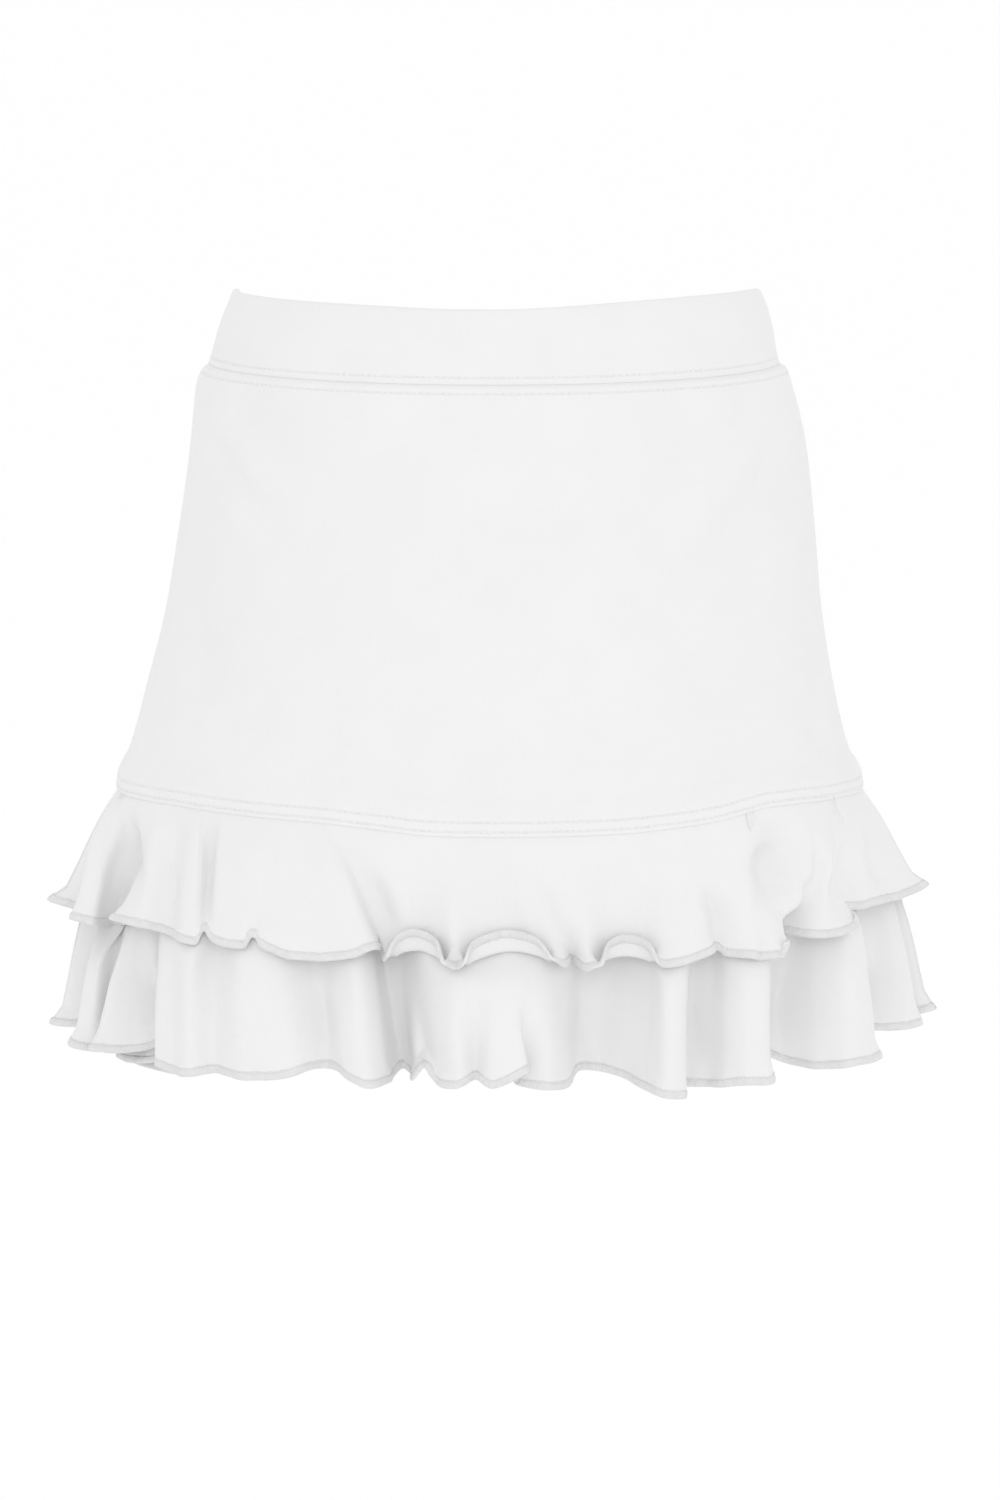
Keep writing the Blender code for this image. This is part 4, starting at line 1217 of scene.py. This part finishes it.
def cloth_material(name, light, dark, sewn_rows=(), shade_line_at=None):
    """White two-way stretch jersey: fine wales and courses, a soft bloom, slight
    variations, needle holes along the sewn rows with the shade inside them painted dark into the colour, and
    a painted shade line along the overlock's upper edge."""
    material, tree, shader = new_material(name, light, 0.85, 0.12)
    n = Nodes(tree)
    place = n.add("ShaderNodeNewGeometry").outputs["Position"]
    uv = n.add("ShaderNodeUVMap", uv_map="Cloth").outputs["UV"]
    split = n.add("ShaderNodeSeparateXYZ")
    n.link(uv, split.inputs[0])
    u, v = split.outputs["X"], split.outputs["Y"]
    # wales 0.75 mm apart, with loops leaning left and right of each
    wale = n.math("SINE", n.math("MULTIPLY", u, 2 * math.pi / 0.00075))
    lean = n.math("MULTIPLY", n.math("ABSOLUTE", wale), 0.00022)
    course = n.math("SINE", n.math("MULTIPLY", n.math("ADD", v, lean), 2 * math.pi / 0.0006))
    knit = n.math("ADD", n.math("MULTIPLY", wale, 0.6), n.math("MULTIPLY", course, 0.4))
    mottle = n.noise(place, 38.0, 3.0)
    fine = n.noise(place, 900.0, 2.0)
    tone = n.math("ADD", n.math("MULTIPLY", mottle, 0.7), n.math("MULTIPLY", fine, 0.3))
    color = n.ramp(tone, [(0.25, dark), (0.75, light)])
    normal = n.bump(knit, 0.10, 0.00012)
    normal = n.bump(fine, 0.10, 0.00020, normal)
    if sewn_rows:
        seam = n.add("ShaderNodeUVMap", uv_map="Seam").outputs["UV"]
        parts = n.add("ShaderNodeSeparateXYZ")
        n.link(seam, parts.inputs[0])
        count, away = parts.outputs["X"], parts.outputs["Y"]
        shifted = n.math("FRACT", n.math("ADD", count, 1000.5))
        stray = n.noise(place, 420.0, 1.0)
        off = n.math("MULTIPLY", n.math("SUBTRACT", stray, 0.5), 1.1)
        beside = n.math("ADD", n.math("MULTIPLY", n.math("SUBTRACT", shifted, 0.5), STITCH), off)
        away = n.math("ADD", away, n.math("MULTIPLY", off, 0.35))
        hole = None
        for row in sewn_rows:
            apart = n.math("SUBTRACT", away, row)
            squared = n.math("ADD", n.math("MULTIPLY", beside, beside), n.math("MULTIPLY", apart, apart))
            near = n.math("MULTIPLY", squared, -1.0 / 0.40**2)
            pit = n.math("EXPONENT", near)
            hole = pit if hole is None else n.math("MAXIMUM", hole, pit)
        # painted shade: the needle-hole pits are mixed towards dark grey, standing in for the shade inside
        # each hole; the bump below dents them as well
        mix = n.add("ShaderNodeMix", data_type="RGBA")
        depth = n.math("ADD", n.math("MULTIPLY", n.noise(place, 260.0, 1.0), 0.42), -0.04)
        n.link(n.math("MULTIPLY", hole, depth), mix.inputs["Factor"])
        tree.links.new(color, mix.inputs["A"])
        mix.inputs["B"].default_value = (0.30, 0.30, 0.31, 1.0)
        color = mix.outputs["Result"]
        normal = n.bump(n.math("MULTIPLY", hole, -1.0), 0.5, 0.0002, normal)
    if shade_line_at:
        # painted shade: a fine dark line along the overlock's upper edge, standing in for the shade in the
        # groove where its needle thread pulls the cloth in; a bump groove goes with it
        seam = n.add("ShaderNodeUVMap", uv_map="Seam").outputs["UV"]
        parts = n.add("ShaderNodeSeparateXYZ")
        n.link(seam, parts.inputs[0])
        beat = n.math("SINE", n.math("MULTIPLY", parts.outputs["X"], 2 * math.pi))
        stray = n.math("MULTIPLY", n.math("SUBTRACT", n.noise(place, 500.0, 1.0), 0.5), 0.8)
        apart = n.math("ADD", n.math("SUBTRACT", parts.outputs["Y"], shade_line_at), stray)
        line = n.math("EXPONENT", n.math("MULTIPLY", n.math("MULTIPLY", apart, apart), -1.0 / 0.34**2))
        depth = n.math("ADD", n.math("MULTIPLY", beat, 0.07), 0.14)
        mix = n.add("ShaderNodeMix", data_type="RGBA")
        n.link(n.math("MULTIPLY", line, depth), mix.inputs["Factor"])
        tree.links.new(color, mix.inputs["A"])
        mix.inputs["B"].default_value = (0.36, 0.36, 0.37, 1.0)
        color = mix.outputs["Result"]
        normal = n.bump(n.math("MULTIPLY", line, -1.0), 0.8, 0.0003, normal)
    tree.links.new(color, shader.inputs["Base Color"])
    tree.links.new(normal, shader.inputs["Normal"])
    return material


def overlock_material():
    """Loops of textured nylon wrapped over the hem, slanting ribs side by side, with painted shade between
    the ribs.
    """
    material, tree, shader = new_material("overlock_thread", (0.71, 0.71, 0.71), 0.75, 0.15)
    n = Nodes(tree)
    place = n.add("ShaderNodeNewGeometry").outputs["Position"]
    uv = n.add("ShaderNodeUVMap", uv_map="Cloth").outputs["UV"]
    split = n.add("ShaderNodeSeparateXYZ")
    n.link(uv, split.inputs[0])
    fine = n.noise(place, 1400.0, 3.0)
    broad = n.noise(place, 300.0, 2.0)
    slant = n.math("ADD", split.outputs["X"], n.math("MULTIPLY", split.outputs["Y"], 0.45))
    slant = n.math("ADD", slant, n.math("MULTIPLY", broad, 0.0009))
    ribs = n.math("SINE", n.math("MULTIPLY", slant, 2 * math.pi / 0.00068))
    # painted shade: the tone follows the rib wave, darker between the ribs, and the whole edge is kept
    # darker than the cloth to stand for the shade of its ridges; the broad noise is random tone
    tone = n.math("ADD", n.math("MULTIPLY", ribs, 0.16), n.math("ADD", n.math("MULTIPLY", broad, 0.5), 0.25))
    color = n.ramp(tone, [(0.3, (0.66, 0.66, 0.665)), (0.7, (0.745, 0.745, 0.745))])
    tree.links.new(color, shader.inputs["Base Color"])
    normal = n.bump(ribs, 0.22, 0.00008)
    tree.links.new(n.bump(fine, 0.2, 0.0001, normal), shader.inputs["Normal"])
    return material


def thread_material(name, light, dark, pitch):
    """Fine textured nylon thread, with strands along it."""
    material, tree, shader = new_material(name, light, 0.7, 0.15)
    n = Nodes(tree)
    place = n.add("ShaderNodeNewGeometry").outputs["Position"]
    fine = n.noise(place, 1500.0, 3.0)
    broad = n.noise(place, 160.0, 2.0)
    tone = n.math("ADD", n.math("MULTIPLY", fine, 0.5), n.math("MULTIPLY", broad, 0.5))
    color = n.ramp(tone, [(0.3, dark), (0.7, light)])
    tree.links.new(color, shader.inputs["Base Color"])
    tree.links.new(n.bump(fine, 0.35, pitch), shader.inputs["Normal"])
    return material


def stage_material():
    """A plain pale floor."""
    material, tree, shader = new_material("studio_floor", (0.97, 0.97, 0.97), 0.9, 0.0)
    return material


# ================================================================ light and camera
def area_light(name, place, target, size, power):
    data = bpy.data.lights.new(name, "AREA")
    data.shape = "DISK"
    data.size = size
    data.energy = power
    obj = bpy.data.objects.new(name, data)
    bpy.context.scene.collection.objects.link(obj)
    obj.location = place
    aim = np.array(target) - np.array(place)
    obj.rotation_euler = Vector(aim).to_track_quat("-Z", "Y").to_euler()
    return obj


def studio():
    world = bpy.data.worlds.new("studio")
    bpy.context.scene.world = world
    world.use_nodes = True
    background = world.node_tree.nodes["Background"]
    background.inputs["Strength"].default_value = 1.215
    n = Nodes(world.node_tree)
    way = n.add("ShaderNodeTexCoord").outputs["Generated"]
    parts = n.add("ShaderNodeSeparateXYZ")
    n.link(way, parts.inputs[0])
    sky = n.ramp(parts.outputs["Z"], [(0.25, (0.95, 0.95, 0.95)), (0.9, (0.78, 0.78, 0.78))])
    n.link(sky, background.inputs["Color"])
    area_light("key", (0.3, -3.1, 0.9), (0.0, 0.0, -0.12), 1.6, 10.0)
    size = 60.0
    mesh = bpy.data.meshes.new("floor")
    level = -0.95
    mesh.from_pydata(
        [(-size, -size, level), (size, -size, level), (size, size, level), (-size, size, level)],
        [], [(0, 1, 2, 3)],
    )
    mesh.materials.append(stage_material())
    floor = bpy.data.objects.new("floor", mesh)
    bpy.context.scene.collection.objects.link(floor)
    scene = bpy.context.scene
    scene.view_settings.view_transform = "Standard"
    scene.view_settings.look = "None"
    scene.view_settings.exposure = 0.0
    scene.view_settings.gamma = 1.0


def camera():
    data = bpy.data.cameras.new("camera")
    data.lens = 143.6
    data.sensor_width = 36.0
    data.clip_end = 200.0
    obj = bpy.data.objects.new("camera", data)
    bpy.context.scene.collection.objects.link(obj)
    obj.location = (0.002, -2.5, 0.269)
    down = math.radians(10.2)
    obj.rotation_euler = (math.pi / 2 - down, 0.0, 0.0)
    bpy.context.scene.camera = obj


# ================================================================ the skort
def keep(obj, *nodes):
    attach(obj, "root")
    if nodes:
        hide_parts(*nodes)
    return obj


def loose_threads():
    """The short tail and the small loop of thread left hanging from the seam."""
    parts = []
    deg = 64.6
    start = ring_points(SKIRT_END + 1.6, deg, -0.35)
    run = np.array([(0, 0, 0), (0.3, -0.5, -2.5), (1.0, -0.9, -5.0), (2.3, -1.2, -7.6), (3.4, -1.6, -9.5), (3.6, -1.9, -11.2)])
    parts.append(tube(smooth_path(start + run, 28), 0.22, 6))
    deg = 42.2
    start = ring_points(SKIRT_END + 1.4, deg, -0.4)
    run = np.array([(-1.1, 0, 0), (-1.7, -0.8, -2.6), (-1.0, -1.4, -6.0), (0.0, -1.8, -8.6), (0.9, -1.6, -6.4), (1.6, -0.9, -3.0), (1.2, 0, 0)])
    parts.append(tube(smooth_path(start + run, 40), 0.2, 6))
    return parts


def smooth_path(points, count):
    along = lengths_along(points, 0)
    at = np.linspace(0, along[-1], count)
    return np.stack([curve(along, points[:, k], at) for k in range(3)], -1)


def main():
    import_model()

    body_cloth = cloth_material(
        "jersey_skirt", (0.785, 0.785, 0.785), (0.76, 0.76, 0.76),
        (WAIST_ROWS[1], 300.0 - SEAM_ROWS[0], 300.0 - SEAM_ROWS[1]),
    )
    band_cloth = cloth_material(
        "jersey_band", (0.785, 0.785, 0.785), (0.76, 0.76, 0.76), (50.0 + WAIST_ROWS[0],)
    )
    tier_cloth = cloth_material(
        "jersey_flounce", (0.785, 0.785, 0.785), (0.76, 0.76, 0.76), shade_line_at=2 * MERROW_HALF
    )
    short_cloth = cloth_material("jersey_shorts", (0.775, 0.775, 0.775), (0.745, 0.745, 0.745))
    thread = thread_material("sewing_thread", (0.83, 0.83, 0.83), (0.76, 0.76, 0.76), 0.0001)
    edge_thread = overlock_material()

    band = keep(waistband(band_cloth), "waistband")
    front = keep(skirt_panel("skirt_front_cloth", -90.0, 90.0, body_cloth), "skirt_front")
    back = keep(skirt_panel("skirt_back_cloth", 90.0, 270.0, body_cloth), "skirt_back")

    levels = np.linspace(-190.0, -240.0, 41)
    half = short_grid(levels, np.linspace(0.0, 1.0, 181))
    both = np.concatenate([half, half[:, ::-1] * np.array([-1.0, 1.0, 1.0])], 1)
    upper = Tier(UPPER_FOLDS, UPPER_SHARES, UPPER_CREASES, BODY_WALL / 2 + 0.5, 1.65, 20, 0.5, 1)
    lower = Tier(
        LOWER_FOLDS, LOWER_SHARES, LOWER_CREASES, BODY_WALL / 2 + 2.0, 1.75, 32, 0.55, 3,
        ((TIER_CLEAR, reach_map(upper.grid, inner=True), True), (SHORT_CLEAR, reach_map(both, False))),
    )
    panels = {}
    for title, tier, rows in (("upper", upper, UPPER_FRONT), ("lower", lower, LOWER_FRONT)):
        split = int(np.argmin(np.abs(tier.u - tier.knots[rows])))
        for side, span in (("front", (0, split)), ("back", (split, tier.columns))):
            name = f"{title}_ruffle_{side}"
            cloth = keep(tier_panel(name + "_cloth", tier, span, tier_cloth), name)
            edge = keep(merrow(name + "_edge", tier, span, edge_thread))
            panels[name] = (cloth, edge)

    left, left_rows = short_leg("short_leg_left_cloth", False, short_cloth)
    right, right_rows = short_leg("short_leg_right_cloth", True, short_cloth)
    keep(left, "short_leg_left")
    keep(right, "short_leg_right")

    waist, seam = stitch_counts()
    rows = stitches_on(skirt_row(-15.3 - WAIST_ROWS[1] + 0.3), waist, 0.0, 1)
    rows += stitches_on(band_row(-15.0 + WAIST_ROWS[0], 0.16), waist, 0.0, 2)
    waist_stitches = keep(joined("waist_stitches", rows, thread))
    rows = []
    for k, row in enumerate(SEAM_ROWS):
        rows += stitches_on(skirt_row(SKIRT_END + row), seam, 0.0, 3 + k)
    rows += loose_threads()
    seam_stitches = keep(joined("seam_stitches", rows, thread))
    short_stitches = keep(joined("short_stitches", left_rows + right_rows, thread))

    for name, size, area in (
        ("upper_ruffle_front", (0.74, 0.060), 0.0305), ("upper_ruffle_back", (0.62, 0.056), 0.028),
        ("lower_ruffle_front", (0.90, 0.111), 0.068), ("lower_ruffle_back", (0.64, 0.106), 0.055),
    ):
        cloth, edge = panels[name]

    studio()
    camera()


main()
